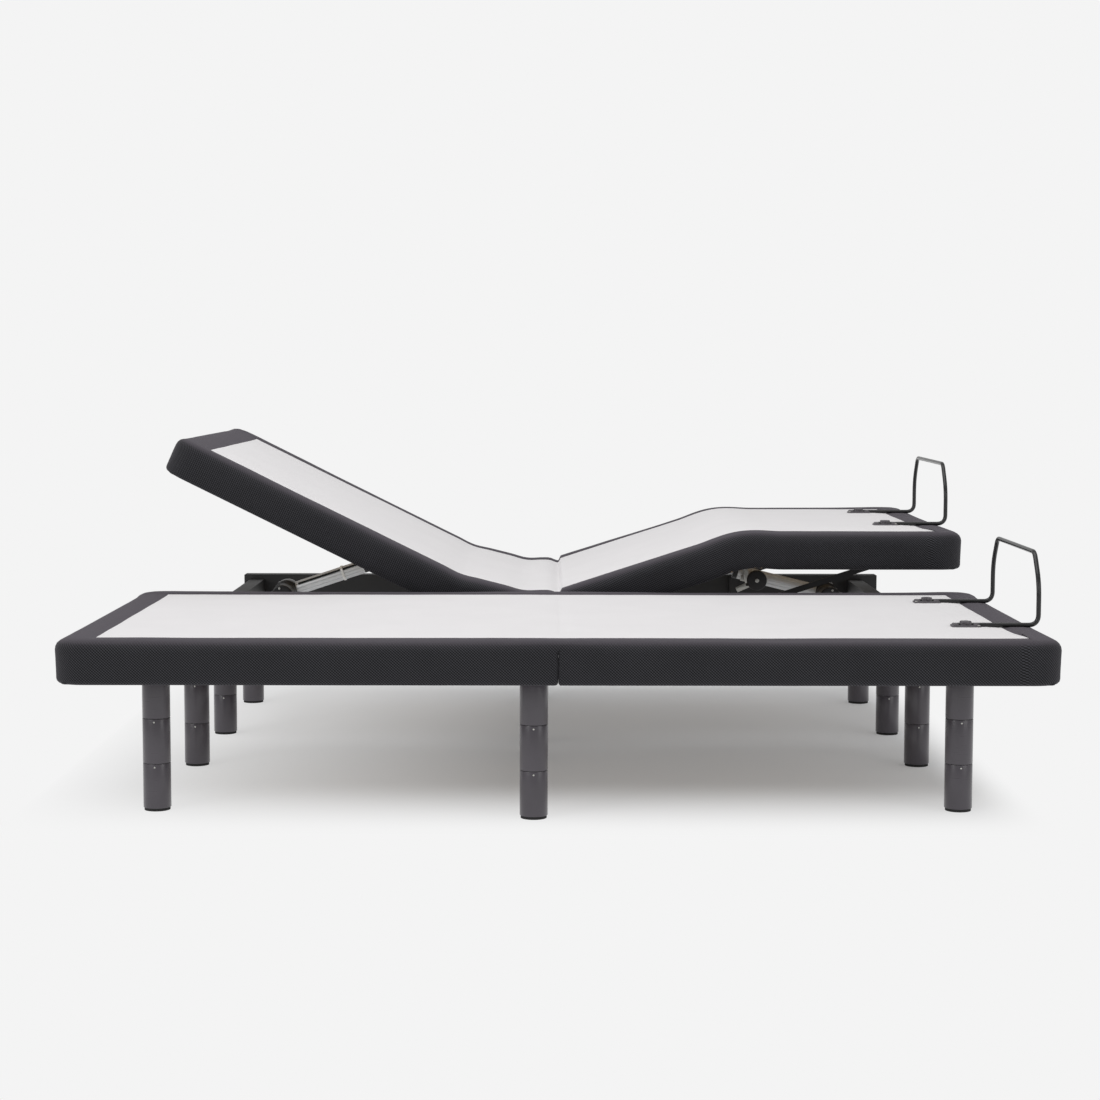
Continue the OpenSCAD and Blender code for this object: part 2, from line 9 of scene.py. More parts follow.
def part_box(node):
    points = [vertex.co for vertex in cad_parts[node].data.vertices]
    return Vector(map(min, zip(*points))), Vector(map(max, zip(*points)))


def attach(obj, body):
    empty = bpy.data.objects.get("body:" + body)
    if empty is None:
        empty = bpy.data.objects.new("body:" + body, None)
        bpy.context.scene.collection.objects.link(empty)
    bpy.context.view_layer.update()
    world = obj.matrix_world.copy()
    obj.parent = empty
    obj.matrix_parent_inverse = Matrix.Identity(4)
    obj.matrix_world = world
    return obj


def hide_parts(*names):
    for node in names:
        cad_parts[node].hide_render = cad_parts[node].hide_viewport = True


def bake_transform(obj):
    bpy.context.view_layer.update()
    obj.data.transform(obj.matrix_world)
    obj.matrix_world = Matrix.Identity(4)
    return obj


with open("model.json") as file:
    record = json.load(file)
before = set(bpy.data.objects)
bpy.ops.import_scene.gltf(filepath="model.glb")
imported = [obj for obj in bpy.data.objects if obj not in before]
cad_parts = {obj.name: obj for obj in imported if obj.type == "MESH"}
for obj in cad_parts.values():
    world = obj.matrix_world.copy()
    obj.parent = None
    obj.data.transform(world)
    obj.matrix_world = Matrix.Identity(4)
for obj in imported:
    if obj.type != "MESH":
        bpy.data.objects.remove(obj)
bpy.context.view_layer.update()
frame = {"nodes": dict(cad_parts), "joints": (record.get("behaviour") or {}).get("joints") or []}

# ---- studio ---------------------------------------------------------------
# A pale floor that melts into a pale backdrop, soft light from the sky and
# three large lamps, and a camera at the height of a seated person's eyes.


def tone(code):
    """An sRGB hex colour as the linear colour that a socket takes."""
    parts = [int(code[i : i + 2], 16) / 255 for i in (1, 3, 5)]
    return (*[p / 12.92 if p <= 0.04045 else ((p + 0.055) / 1.055) ** 2.4 for p in parts], 1)


def add(tree, kind, props={}, values={}, links={}):
    """Adds a node with its settings, its socket values and what feeds its sockets."""
    made = tree.nodes.new(kind)
    for name, value in props.items():
        setattr(made, name, value)
    for socket, value in values.items():
        made.inputs[socket].default_value = value
    for socket, (source, out) in links.items():
        tree.links.new(source.outputs[out], made.inputs[socket])
    return made


def coating(name):
    """A material that holds only its output, with its node tree."""
    made = bpy.data.materials.new(name)
    made.use_nodes = True
    made.node_tree.nodes.clear()
    return made, made.node_tree, add(made.node_tree, "ShaderNodeOutputMaterial")


def bare_hands():
    """Leaves edit mode and lets go of everything."""
    if bpy.context.object and bpy.context.object.mode != "OBJECT":
        bpy.ops.object.mode_set(mode="OBJECT")
    bpy.ops.object.select_all(action="DESELECT")


backdrop_grey = "#F4F4F4"
world = bpy.data.worlds.new("studio")
world.use_nodes = True
bpy.context.scene.world = world
sky = world.node_tree
sky.nodes.clear()
seen = add(sky, "ShaderNodeBackground", values={"Color": tone(backdrop_grey), "Strength": 1})
cast = add(sky, "ShaderNodeBackground", values={"Color": tone("#F4F4F4"), "Strength": 0.60})
ray = add(sky, "ShaderNodeLightPath")
either = add(sky, "ShaderNodeMixShader", links={0: (ray, "Is Camera Ray"), 1: (cast, 0), 2: (seen, 0)})
add(sky, "ShaderNodeOutputWorld", links={"Surface": (either, 0)})
bpy.context.scene.view_settings.view_transform = "Standard"

bare_hands()
bpy.ops.mesh.primitive_plane_add(size=60, location=(0, 0, -0.0005))
bpy.ops.object.transform_apply(location=True, rotation=True, scale=True)
floor = bpy.context.object
floor.name = "studio_floor"
# Matt white vinyl under the bed, where it takes the shadow; further out it glows
# in the backdrop's own tone. The mask between them paints the shadow's shape: it thins out slowly towards the head.
vinyl, t, out = coating("white_vinyl_floor")
place = add(t, "ShaderNodeTexCoord")
spot = add(t, "ShaderNodeSeparateXYZ", links={0: (place, "Object")})
to_head = add(t, "ShaderNodeMapRange", values={1: -1.13, 2: -0.10}, links={0: (spot, 0)})
to_head = add(t, "ShaderNodeMath", {"operation": "POWER"}, {1: 0.58}, {0: (to_head, 0)})
to_foot = add(t, "ShaderNodeMapRange", {"interpolation_type": "SMOOTHSTEP"}, {1: 1.02, 2: 0.84}, {0: (spot, 0)})
to_near = add(t, "ShaderNodeMapRange", {"interpolation_type": "SMOOTHSTEP"}, {1: -1.02, 2: -0.42}, {0: (spot, 1)})
to_far = add(t, "ShaderNodeMapRange", {"interpolation_type": "SMOOTHSTEP"}, {1: 1.7, 2: 0.95}, {0: (spot, 1)})
shade = to_head
for limit in (to_foot, to_near, to_far):
    shade = add(t, "ShaderNodeMath", {"operation": "MULTIPLY"}, links={0: (shade, 0), 1: (limit, 0)})
# Painted shadow: where the mask is full the floor still keeps 23 % of the backdrop's glow, so the shadow is lightened
# there, and the mask's edges set where the shadow ends.
painted_shadow_fade = add(t, "ShaderNodeMapRange", values={3: 1, 4: 0.23}, links={0: (shade, 0)})
# The vinyl is tinted a little blue to cancel the warm cast of the light under the bed.
matt = add(t, "ShaderNodeBsdfDiffuse", values={"Color": tone("#E8E9EB")})
far = add(t, "ShaderNodeEmission", values={"Color": tone(backdrop_grey), "Strength": 1})
blend = add(t, "ShaderNodeMixShader", links={0: (painted_shadow_fade, 0), 1: (matt, 0), 2: (far, 0)})
t.links.new(blend.outputs[0], out.inputs["Surface"])
floor.data.materials.append(vinyl)

for name, place, size, watts, aim in (
    ("overhead_lamp", (-0.4, -0.6, 3.6), (4.2, 3.2), 66, (0, 0, 0.3)),
    ("window_lamp", (-3.4, -3.6, 2.2), (2.4, 2.0), 42, (0, -0.2, 0.25)),
    ("fill_lamp", (3.2, -3.2, 1.4), (2.0, 1.6), 16, (0.2, 0, 0.25)),
):
    lamp = bpy.data.lights.new(name, "AREA")
    lamp.shape, lamp.size, lamp.size_y, lamp.energy = "RECTANGLE", size[0], size[1], watts
    stand = bpy.data.objects.new(name, lamp)
    stand.location = place
    stand.rotation_euler = (Vector(aim) - Vector(place)).to_track_quat("-Z", "Y").to_euler()
    bpy.context.scene.collection.objects.link(stand)

lens = bpy.data.cameras.new("camera")
lens.lens, lens.sensor_width = 71.87, 36
camera = bpy.data.objects.new("camera", lens)
camera.location = (-0.01739, -5.31184, 0.92132)
camera.rotation_euler = (math.pi / 2 - 0.0817, -0.0012, 0)
bpy.context.scene.collection.objects.link(camera)
bpy.context.scene.camera = camera

# ---- deck covers ----------------------------------------------------------
# Each unit is upholstered over 12 mm foam: a charcoal polyester mesh wraps the
# sides and the rim of the top, and a white brushed panel is let into the top.
# The cover is one skin, parted only at the hips; here it is bent to the boards' drawn pose.

joint = {j["name"]: j for j in frame["joints"]}
pad_lo, pad_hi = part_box("front_seat_pad")
deck_top, skirt_low = pad_hi.z, pad_lo.z
half_width = (pad_hi.y - pad_lo.y) / 2
half_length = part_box("front_calf_pad")[1].x
board_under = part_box("front_seat_panel")[1].z - 0.001
unit_middle = {u: joint[u + "_thigh_fold"]["pos_m"][1] for u in ("front", "rear")}
pin_height = joint["front_thigh_fold"]["pos_m"][2]
hip, knee = joint["front_thigh_fold"]["pos_m"][0], joint["front_knee_fold"]["pos_m"][0]
lumbar, upper = joint["front_lumbar_fold"]["pos_m"][0], joint["front_back_fold"]["pos_m"][0]
corner_round, rim_round, hem_round = 0.060, 0.024, 0.010
hem_width, most_swell, seam_band = 0.0265, 0.0022, 0.0045
panel_side, panel_end = half_width - 0.060, half_length - 0.081
fold_half, knee_half = 0.050, 0.105
wedge_top = (0.001, 0.0215)
lumbar_middle = (lumbar + upper) / 2


def pick(ob, mode, test):
    """In edit mode, selects just the faces, edges or verts that pass a test."""
    bpy.ops.mesh.select_all(action="DESELECT")
    bpy.ops.mesh.select_mode(type=mode)
    bpy.ops.object.mode_set(mode="OBJECT")
    mesh = ob.data
    if mode == "FACE":
        for f in mesh.polygons:
            f.select = bool(test(f.center, f.normal))
    elif mode == "EDGE":
        for e in mesh.edges:
            e.select = bool(test(*[mesh.vertices[i].co for i in e.vertices]))
    else:
        for v in mesh.vertices:
            v.select = bool(test(v.co))
    bpy.ops.object.mode_set(mode="EDIT")


def slice_mesh(co, no, **ways):
    bpy.ops.mesh.select_all(action="SELECT")
    bpy.ops.mesh.bisect(plane_co=co, plane_no=no, **ways)


def smooth(t):
    t = np.clip(t, 0, 1)
    return t * t * (3 - 2 * t)


def points(ob):
    co = np.zeros(len(ob.data.vertices) * 3)
    ob.data.vertices.foreach_get("co", co)
    return co.reshape(-1, 3)


def set_points(ob, co):
    ob.data.vertices.foreach_set("co", np.asarray(co, float).ravel())
    ob.data.update()


def flat_cover():
    """One unit's cover, lying flat about the unit's own middle line."""
    bare_hands()
    bpy.ops.mesh.primitive_cube_add(size=1, location=(0, 0, (deck_top + skirt_low) / 2))
    ob = bpy.context.object
    ob.scale = (2 * half_length, 2 * half_width, deck_top - skirt_low)
    bpy.ops.object.transform_apply(location=True, rotation=True, scale=True)
    bpy.ops.object.mode_set(mode="EDIT")
    pick(ob, "EDGE", lambda a, b: abs(a.z - b.z) > 0.05)
    bpy.ops.mesh.bevel(offset=corner_round, segments=8)
    pick(ob, "EDGE", lambda a, b: min(a.z, b.z) > deck_top - 1e-5)
    bpy.ops.mesh.bevel(offset=rim_round, segments=5)
    pick(ob, "EDGE", lambda a, b: max(a.z, b.z) < skirt_low + 1e-5)
    bpy.ops.mesh.bevel(offset=hem_round, segments=3)
    # The hem turns in under the skirt boards and up behind them.
    pick(ob, "FACE", lambda c, n: n.z < -0.99)
    bpy.ops.mesh.inset(thickness=hem_width - hem_round, depth=0)
    bpy.ops.mesh.extrude_region_move(TRANSFORM_OT_translate={"value": (0, 0, board_under - 0.0005 - skirt_low)})
    grid, fold_grid = 0.026, 0.0047
    cuts = list(np.arange(-0.975, 0.99, grid))
    for fold, half in ((upper, fold_half), (lumbar, fold_half), (knee, 0.115)):
        cuts = [c for c in cuts if abs(c - fold) > half + 0.008]
        cuts += list(np.linspace(fold - half, fold + half, int(half / fold_grid) | 1))
    # Close rows at the hip, where the seat's foam is drawn down.
    cuts = [c for c in cuts if abs(c) > 0.034 or abs(c - lumbar) < fold_half]
    cuts += [-0.030, -0.022, -0.014, 0.003, 0.007, 0.011, 0.0215, 0.030]
    cuts += [s * (panel_end + d) for s in (-1, 1) for d in (-0.004, 0, 0.004)]
    for x in sorted(set(round(c, 5) for c in cuts)):
        slice_mesh((x, 0, 0), (1, 0, 0))
    rows = list(np.arange(-0.39, 0.391, grid))
    rows += [s * (panel_side + d) for s in (-1, 1) for d in (-0.012, -0.004, 0, 0.004, 0.012)]
    for y in rows:
        slice_mesh((0, y, 0), (0, 1, 0))
    for z in np.linspace(skirt_low + hem_round + 0.009, deck_top - rim_round - 0.009, 5):
        slice_mesh((0, 0, z), (0, 0, 1))
    bpy.ops.mesh.select_all(action="SELECT")
    bpy.ops.mesh.remove_doubles(threshold=0.00005)
    bpy.ops.mesh.normals_make_consistent(inside=False)
    bpy.ops.object.mode_set(mode="OBJECT")
    return ob


def cloth_grain(ob):
    """The cover's own UV map, in metres of cloth: flat on top, and unrolled round the sides."""
    co, mesh = points(ob), ob.data
    grain = mesh.uv_layers.new(name="cloth")
    sign = np.where(co[:, 0] < 0, -1, 1)
    ax, ay = np.abs(co[:, 0]) - (half_length - corner_round), np.abs(co[:, 1]) - (half_width - corner_round)
    turn = np.arctan2(np.maximum(ax, 0), np.maximum(ay, 1e-9))
    along = np.abs(co[:, 0])
    round_corner = (ax > 0) & (ay > 0)
    along = np.where(round_corner, half_length - corner_round + corner_round * turn, along)
    on_end = (ax > 0) & (ay <= 0)
    along = np.where(on_end, half_length - corner_round + corner_round * math.pi / 2 - ay, along)
    for face in mesh.polygons:
        up = abs(face.normal.z) > 0.72
        for corner, vert in zip(face.loop_indices, face.vertices):
            if up:
                grain.data[corner].uv = (co[vert, 0], co[vert, 1])
            else:
                grain.data[corner].uv = (sign[vert] * along[vert], co[vert, 2])
    # The 'rim' weight runs from 0 on the sides to 1 over the rounded edge and the top's border, where the charcoal
    # cloth gets painted sheen.
    painted_sheen_rim = mesh.attributes.new("rim", "FLOAT", "POINT")
    painted_sheen_rim.data.foreach_set("value", smooth((co[:, 2] - (deck_top - 0.013)) / 0.0125).astype(np.float32))


def settle_cloth(ob):
    """Lets the taut cloth swell a little over the foam, held at its seams and its hem."""
    before = points(ob)
    held = ob.vertex_groups.new(name="held")
    from_middle = np.abs(before[:, 0]), np.abs(before[:, 1])
    on_seam = np.abs(from_middle[0] - panel_end) < seam_band
    on_seam |= np.abs(from_middle[1] - panel_side) < seam_band
    inside = (from_middle[0] < panel_end + 0.005) & (from_middle[1] < panel_side + 0.005)
    fixed = (inside & on_seam) | (before[:, 2] < skirt_low + 0.004) | (from_middle[0] < 0.012)
    behind = (from_middle[1] < half_width - 0.02) & (from_middle[0] < half_length - 0.02)
    fixed |= behind & (before[:, 2] < deck_top - 0.005)
    held.add([int(i) for i in np.nonzero(fixed)[0]], 1.0, "REPLACE")
    cloth = ob.modifiers.new("taut_cloth", "CLOTH")
    cloth.settings.quality = 4
    cloth.settings.mass = 0.4
    cloth.settings.tension_stiffness = cloth.settings.compression_stiffness = 22
    cloth.settings.bending_stiffness = 1.2
    cloth.settings.use_pressure = True
    cloth.settings.uniform_pressure_force = 1.6
    cloth.settings.vertex_group_mass = "held"
    cloth.settings.effector_weights.gravity = 0
    for step in range(1, 15):
        bpy.context.scene.frame_set(step)
    moved = ob.evaluated_get(bpy.context.evaluated_depsgraph_get())
    after = np.zeros(len(before) * 3)
    moved.data.vertices.foreach_get("co", after)
    bpy.context.scene.frame_set(1)
    ob.modifiers.remove(cloth)
    ob.vertex_groups.clear()
    shift = after.reshape(-1, 3) - before
    far_gone = np.linalg.norm(shift, axis=1, keepdims=True)
    set_points(ob, before + shift * np.minimum(1, most_swell / np.maximum(far_gone, 1e-9)))


cover = flat_cover()
cloth_grain(cover)
for face in cover.data.polygons:
    c = face.center
    face.material_index = int(c.z > deck_top - 0.004 and abs(c.x) < panel_end and abs(c.y) < panel_side)
settle_cloth(cover)

# Shaping: the side skirts lean in by 6 mm at the hem, the white panel's
# foot edge is cut with a pointed corner on one side, the panel's seam draws
# the foam in by a millimetre, the far rim is stuffed a little fuller, and the
# cloth is never quite even.
co = points(cover)
outer = (np.abs(co[:, 0]) > half_length - 0.02) | (np.abs(co[:, 1]) > half_width - 0.02)
lean = smooth((deck_top - rim_round - co[:, 2]) / (deck_top - rim_round - skirt_low)) * 0.006 * outer
for axis, half, share in ((0, half_length, 0.3), (1, half_width, 1)):
    near = smooth((np.abs(co[:, axis]) - (half - corner_round)) / (corner_round - 0.012))
    co[:, axis] -= np.sign(co[:, axis]) * near * lean * share
flat_x = co[:, 0].copy()
foot_edge = np.abs(co[:, 0] - panel_end) < seam_band
co[:, 0] += foot_edge * 0.020 * np.exp(-(((co[:, 1] + panel_side) / 0.065) ** 2))
side_seam = np.abs(np.abs(co[:, 1]) - panel_side) + 10 * (np.abs(co[:, 0]) > panel_end + 0.004)
end_seam = np.abs(np.abs(flat_x) - panel_end) + 10 * (np.abs(co[:, 1]) > panel_side + 0.004)
seam = np.minimum(side_seam, end_seam)
top = co[:, 2] > deck_top - 0.006
co[:, 2] -= top * np.maximum(0, 1 - seam / 0.0039) * 0.0011
for i, p in enumerate(co):
    swell = noise.noise(Vector((p[0] * 5.5, p[1] * 6.5, p[2] * 9 + 3)))
    ripple = noise.noise(Vector((p[0] * 17, p[1] * 17, p[2] * 12 - 7)))
    if top[i]:
        p[2] += 0.0007 * swell + 0.00035 * ripple - 0.0008 + 0.0044 * smooth((p[1] - 0.405) / 0.055)
    elif outer[i] and abs(p[1]) > half_width - 0.02:
        p[1] -= math.copysign(0.0009 * (swell + 0.6 * ripple) + 0.0006, p[1])
set_points(cover, co)

# Charcoal polyester mesh: a matt cloth of fine diagonal ribs with pale knots
# where they cross. The real ribs lie 3 mm apart, too fine to show from across
# a room, so they are drawn 4.2 mm apart. The fibres catch light at a low angle.
rib_pitch = 0.0042
bands = {"wave_type": "BANDS", "bands_direction": "X", "wave_profile": "SIN"}
mesh_cloth, t, out = coating("charcoal_polyester_mesh")
grain = add(t, "ShaderNodeUVMap", {"uv_map": "cloth"})
ribs_way = add(t, "ShaderNodeMapping", values={"Rotation": (0, 0, math.radians(-47))}, links={0: (grain, 0)})
rib_settings = {"Scale": 0.314 / rib_pitch, "Distortion": 0.5, "Detail": 1, "Detail Scale": 40}
ribs = add(t, "ShaderNodeTexWave", bands, rib_settings, {0: (ribs_way, 0)})
cross_way = add(t, "ShaderNodeMapping", values={"Rotation": (0, 0, math.radians(43))}, links={0: (grain, 0)})
cross = add(t, "ShaderNodeTexWave", bands, {"Scale": 0.314 / rib_pitch, "Distortion": 0.5}, {0: (cross_way, 0)})
weave = add(t, "ShaderNodeMix", {"data_type": "FLOAT"}, {0: 0.38}, {2: (ribs, "Fac"), 3: (cross, "Fac")})
knots = add(t, "ShaderNodeMapRange", {"interpolation_type": "SMOOTHSTEP"}, {1: 0.32, 2: 0.80}, {0: (weave, 0)})
tufts = add(t, "ShaderNodeTexNoise", values={"Scale": 9, "Detail": 3}, links={0: (grain, 0)})
# The top border and its rounded edge are painted a lighter purple-grey: painted sheen, standing for the light the
# cloth catches at a low angle.
rim = add(t, "ShaderNodeAttribute", {"attribute_name": "rim"})
thread = add(t, "ShaderNodeMix", {"data_type": "RGBA"}, {6: tone("#050506"), 7: tone("#3F3F44")}, {0: (knots, 0)})
multiply = {"data_type": "RGBA", "blend_type": "MULTIPLY"}
worn = add(t, "ShaderNodeMix", multiply, {0: 0.35}, {6: (thread, 2), 7: (tufts, "Fac")})
rim_painted_sheen = add(t, "ShaderNodeMix", {"data_type": "RGBA"}, {7: tone("#423E44")}, {0: (rim, "Fac"), 6: (worn, 2)})
relief = add(t, "ShaderNodeBump", values={"Strength": 0.5, "Distance": 0.0006}, links={"Height": (weave, 0)})
fuzz = {"Sheen Weight": 0.12, "Sheen Roughness": 0.5, "Sheen Tint": tone("#D8D2DC")}
fibres = {"Roughness": 0.82, "Specular IOR Level": 0.25, **fuzz}
skin = add(t, "ShaderNodeBsdfPrincipled", {}, fibres, {"Base Color": (rim_painted_sheen, 2), "Normal": (relief, 0)})
t.links.new(skin.outputs[0], out.inputs["Surface"])

# White brushed polyester: a soft, close nap with no shine, and a faint
# random unevenness of tone a few centimetres wide.
brushed_white, t, out = coating("white_brushed_polyester")
grain = add(t, "ShaderNodeUVMap", {"uv_map": "cloth"})
nap = add(t, "ShaderNodeTexNoise", values={"Scale": 520, "Detail": 2, "Roughness": 0.7}, links={0: (grain, 0)})
patch = add(t, "ShaderNodeTexNoise", values={"Scale": 7, "Detail": 3}, links={0: (grain, 0)})
mixed = add(t, "ShaderNodeMix", {"data_type": "FLOAT"}, {0: 0.5}, {2: (nap, "Fac"), 3: (patch, "Fac")})
white = add(t, "ShaderNodeMix", {"data_type": "RGBA"}, {6: tone("#DAD8D9"), 7: tone("#E7E5E6")}, {0: (mixed, 0)})
relief = add(t, "ShaderNodeBump", values={"Strength": 0.35, "Distance": 0.0005}, links={"Height": (nap, "Fac")})
fibres = {"Roughness": 0.9, "Specular IOR Level": 0.15, "Sheen Weight": 0.08, "Sheen Roughness": 0.6}
skin = add(t, "ShaderNodeBsdfPrincipled", {}, fibres, {"Base Color": (white, 2), "Normal": (relief, 0)})
t.links.new(skin.outputs[0], out.inputs["Surface"])
cover.data.materials.append(mesh_cloth)
cover.data.materials.append(brushed_white)


def tilted(x0, z0, x1, z1):
    """The normal, towards +X, of a cut through two points of a side view."""
    return Vector((z1 - z0, 0, x0 - x1)).normalized()


def cut_cover(name, head_cut, foot_cut):
    """A copy of the flat cover between two cuts. A cut is a list of planes; what lies outside any of them goes."""
    bare_hands()
    ob = cover.copy()
    ob.data = cover.data.copy()
    ob.name = ob.data.name = name
    bpy.context.scene.collection.objects.link(ob)
    bpy.context.view_layer.objects.active = ob
    ob.select_set(True)
    bpy.ops.object.mode_set(mode="EDIT")
    for co, no in head_cut:
        slice_mesh(co, no, clear_inner=True, use_fill=True)
    for co, no in foot_cut:
        slice_mesh(co, no, clear_outer=True, use_fill=True)
    bpy.ops.object.mode_set(mode="OBJECT")
    return ob


def roll_ends(ob, x):
    """Rolls the skirt's upright edges and its lower corners where the cover is parted."""

    def upright(a, b):
        outside = min(abs(a.y), abs(b.y)) > half_width - 0.020 and max(a.z, b.z) < pin_height + 0.004
        return max(abs(a.x - x), abs(b.x - x)) < 1e-4 and (outside or max(a.z, b.z) < skirt_low + 0.002)

    bpy.ops.object.mode_set(mode="EDIT")
    pick(ob, "EDGE", upright)
    bpy.ops.mesh.bevel(offset=0.007, segments=4)
    bpy.ops.object.mode_set(mode="OBJECT")


hip_gap, lumbar_share = 0.0001, 0.55


def drawn_angles(unit):
    """The unit's drawn lumbar, upper back and thigh angles."""
    recline = -math.radians(joint[f"{unit}_lumbar_fold"]["range_deg"][0])
    raised = -math.radians(joint[f"{unit}_thigh_fold"]["range_deg"][0])
    return recline, recline * (1 / lumbar_share - 1), raised


def turned(x, z, pin, angle):
    """Points of a side view, swung about a pin on the pin line."""
    dx, dz = x - pin, z - pin_height
    return pin + dx * np.cos(angle) + dz * np.sin(angle), pin_height - dx * np.sin(angle) + dz * np.cos(angle)


def fold(ob, unit):
    """Bends a flat piece to the unit's drawn pose and moves it to the unit's place."""
    recline, back_more, raised = drawn_angles(unit)
    co = points(ob)
    flat_x, flat_z = co[:, 0].copy(), co[:, 2].copy()
    x, z = turned(flat_x, flat_z, upper, back_more * smooth((upper + fold_half - flat_x) / (2 * fold_half)))
    x, z = turned(x, z, lumbar, recline * smooth((lumbar + fold_half - flat_x) / (2 * fold_half)))
    x, z = turned(x, z, knee, raised * smooth((flat_x - knee + knee_half) / (2 * knee_half)))
    if "gusset" in ob.name:
        # Each point turns by its place between the wedge's two walls.
        height = (z - pin_height) / (deck_top - pin_height)
        near_wall, far_wall = wedge_top[0] * height, wedge_top[1] * height
        share = (flat_x - near_wall + hip_gap) / (far_wall - near_wall + 2 * hip_gap)
        x, z = turned(x, z, hip, -raised * smooth(share))
    elif "leg" in ob.name:
        x, z = turned(x, z, hip, -raised)
    co[:, 0], co[:, 2] = x, z
    co[:, 1] += unit_middle[unit]
    set_points(ob, co)


seat_slope = tilted(-hip_gap, pin_height, wedge_top[0], deck_top)
thigh_slope = tilted(hip_gap, pin_height, wedge_top[1], deck_top)
middle = [((lumbar_middle, 0, 0), (1, 0, 0))]
thigh_end = [((hip_gap, 0, 0), (1, 0, 0)), ((hip_gap, 0, pin_height), thigh_slope)]
wedge_head = [((-hip_gap - 0.0002, 0, pin_height), seat_slope), ((0, 0, pin_height), (0, 0, 1))]
crease_pitch, crease_reach, crease_depth = 0.018, 0.052, 0.0034
wedge_foot = [((hip_gap - 0.00002, 0, pin_height), thigh_slope)]

for unit in ("front", "rear"):
    back = cut_cover(f"{unit}_back_cover", [], middle)
    seat = cut_cover(f"{unit}_seat_cover", middle, [((-hip_gap, 0, 0), (1, 0, 0))])
    gusset = cut_cover(f"{unit}_hip_gusset", wedge_head, wedge_foot)
    legs_part = cut_cover(f"{unit}_leg_cover", thigh_end, [])
    for piece, x in ((seat, -hip_gap), (legs_part, hip_gap)):
        bare_hands()
        bpy.context.view_layer.objects.active = piece
        piece.select_set(True)
        roll_ends(piece, x)
    # A hollow in the seat's end takes the thigh board's corner when it comes up.
    bare_hands()
    bpy.context.view_layer.objects.active = seat
    seat.select_set(True)
    bpy.ops.object.mode_set(mode="EDIT")
    pick(seat, "FACE", lambda c, n: n.x > 0.9 and abs(c.x + hip_gap) < 1e-4)
    bpy.ops.mesh.inset(thickness=0.0045, depth=-0.0075)
    bpy.ops.object.mode_set(mode="OBJECT")
    # Above the pins the seat's end leans over towards the thigh section.
    co = points(seat)
    at_end = (np.abs(co[:, 0] + hip_gap) < 1e-4) & (co[:, 2] > pin_height)
    co[:, 0] += at_end * (co[:, 2] - pin_height) / (deck_top - pin_height) * (wedge_top[0] + hip_gap)
    set_points(seat, co)
    for piece in (back, seat, gusset, legs_part):
        co = points(piece)
        high = co[:, 2] > deck_top - 0.03
        if unit == "rear":
            # The seat's foam is drawn down into the fold, and one slow swell stays in its far half.
            dip = np.where(co[:, 0] < 0.009, smooth((co[:, 0] + 0.022) / 0.030), smooth((0.0215 - co[:, 0]) / 0.0125))
            drawn_in = 0.0075 * dip * high * (co[:, 2] - (deck_top - 0.03)) / 0.03
            mound = np.exp(-(((co[:, 0] + 0.046) / 0.030) ** 2) - ((co[:, 1] - 0.17) / 0.19) ** 2)
            co[:, 2] += (co[:, 2] > deck_top - 0.01) * 0.0058 * mound
            # Cloth that gathers under the bent knee.
            lower = smooth((deck_top - 0.022 - co[:, 2]) / 0.045) * (np.abs(co[:, 1]) > half_width - 0.016)
            creases = np.sin((co[:, 0] - knee) / crease_pitch * 2 * math.pi + 6 * (co[:, 2] - 0.33))
            creases *= np.exp(-((co[:, 0] - knee) / crease_reach) ** 2)
            co[:, 1] += np.sign(co[:, 1]) * crease_depth * creases * lower
        else:
            drawn_in = 0
        set_points(piece, co)
        fold(piece, unit)
        # The draw into the fold comes last, so that neighbours stay in line.
        co = points(piece)
        co[:, 2] -= drawn_in
        set_points(piece, co)
        bare_hands()
        piece.select_set(True)
        bpy.context.view_layer.objects.active = piece
        bpy.ops.object.shade_smooth_by_angle(angle=math.radians(38))
    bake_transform(back)
    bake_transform(seat)
    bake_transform(gusset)
    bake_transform(legs_part)
    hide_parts(f"{unit}_back_pad", f"{unit}_lumbar_pad")
    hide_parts(f"{unit}_seat_pad")
    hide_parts(f"{unit}_thigh_pad", f"{unit}_calf_pad")
bpy.data.objects.remove(cover)

# ---- deck boards ----------------------------------------------------------
# Poplar plywood boards, 15 mm thick, with skirt boards glued below their
# edges. They are left raw, since the cover hides all but their undersides.

plywood, t, out = coating("raw_poplar_plywood")
place = add(t, "ShaderNodeTexCoord")
stretch = add(t, "ShaderNodeMapping", values={"Scale": (1.3, 16, 16)}, links={0: (place, "Object")})
wavy = {"Scale": 3.2, "Detail": 6, "Roughness": 0.62, "Distortion": 0.5}
figure = add(t, "ShaderNodeTexNoise", values=wavy, links={0: (stretch, 0)})
pores = add(t, "ShaderNodeTexNoise", values={"Scale": 46, "Detail": 2}, links={0: (stretch, 0)})
wood = {6: tone("#9A8468"), 7: tone("#BFA98A")}
veneer = add(t, "ShaderNodeMix", {"data_type": "RGBA"}, wood, {0: (figure, "Fac")})
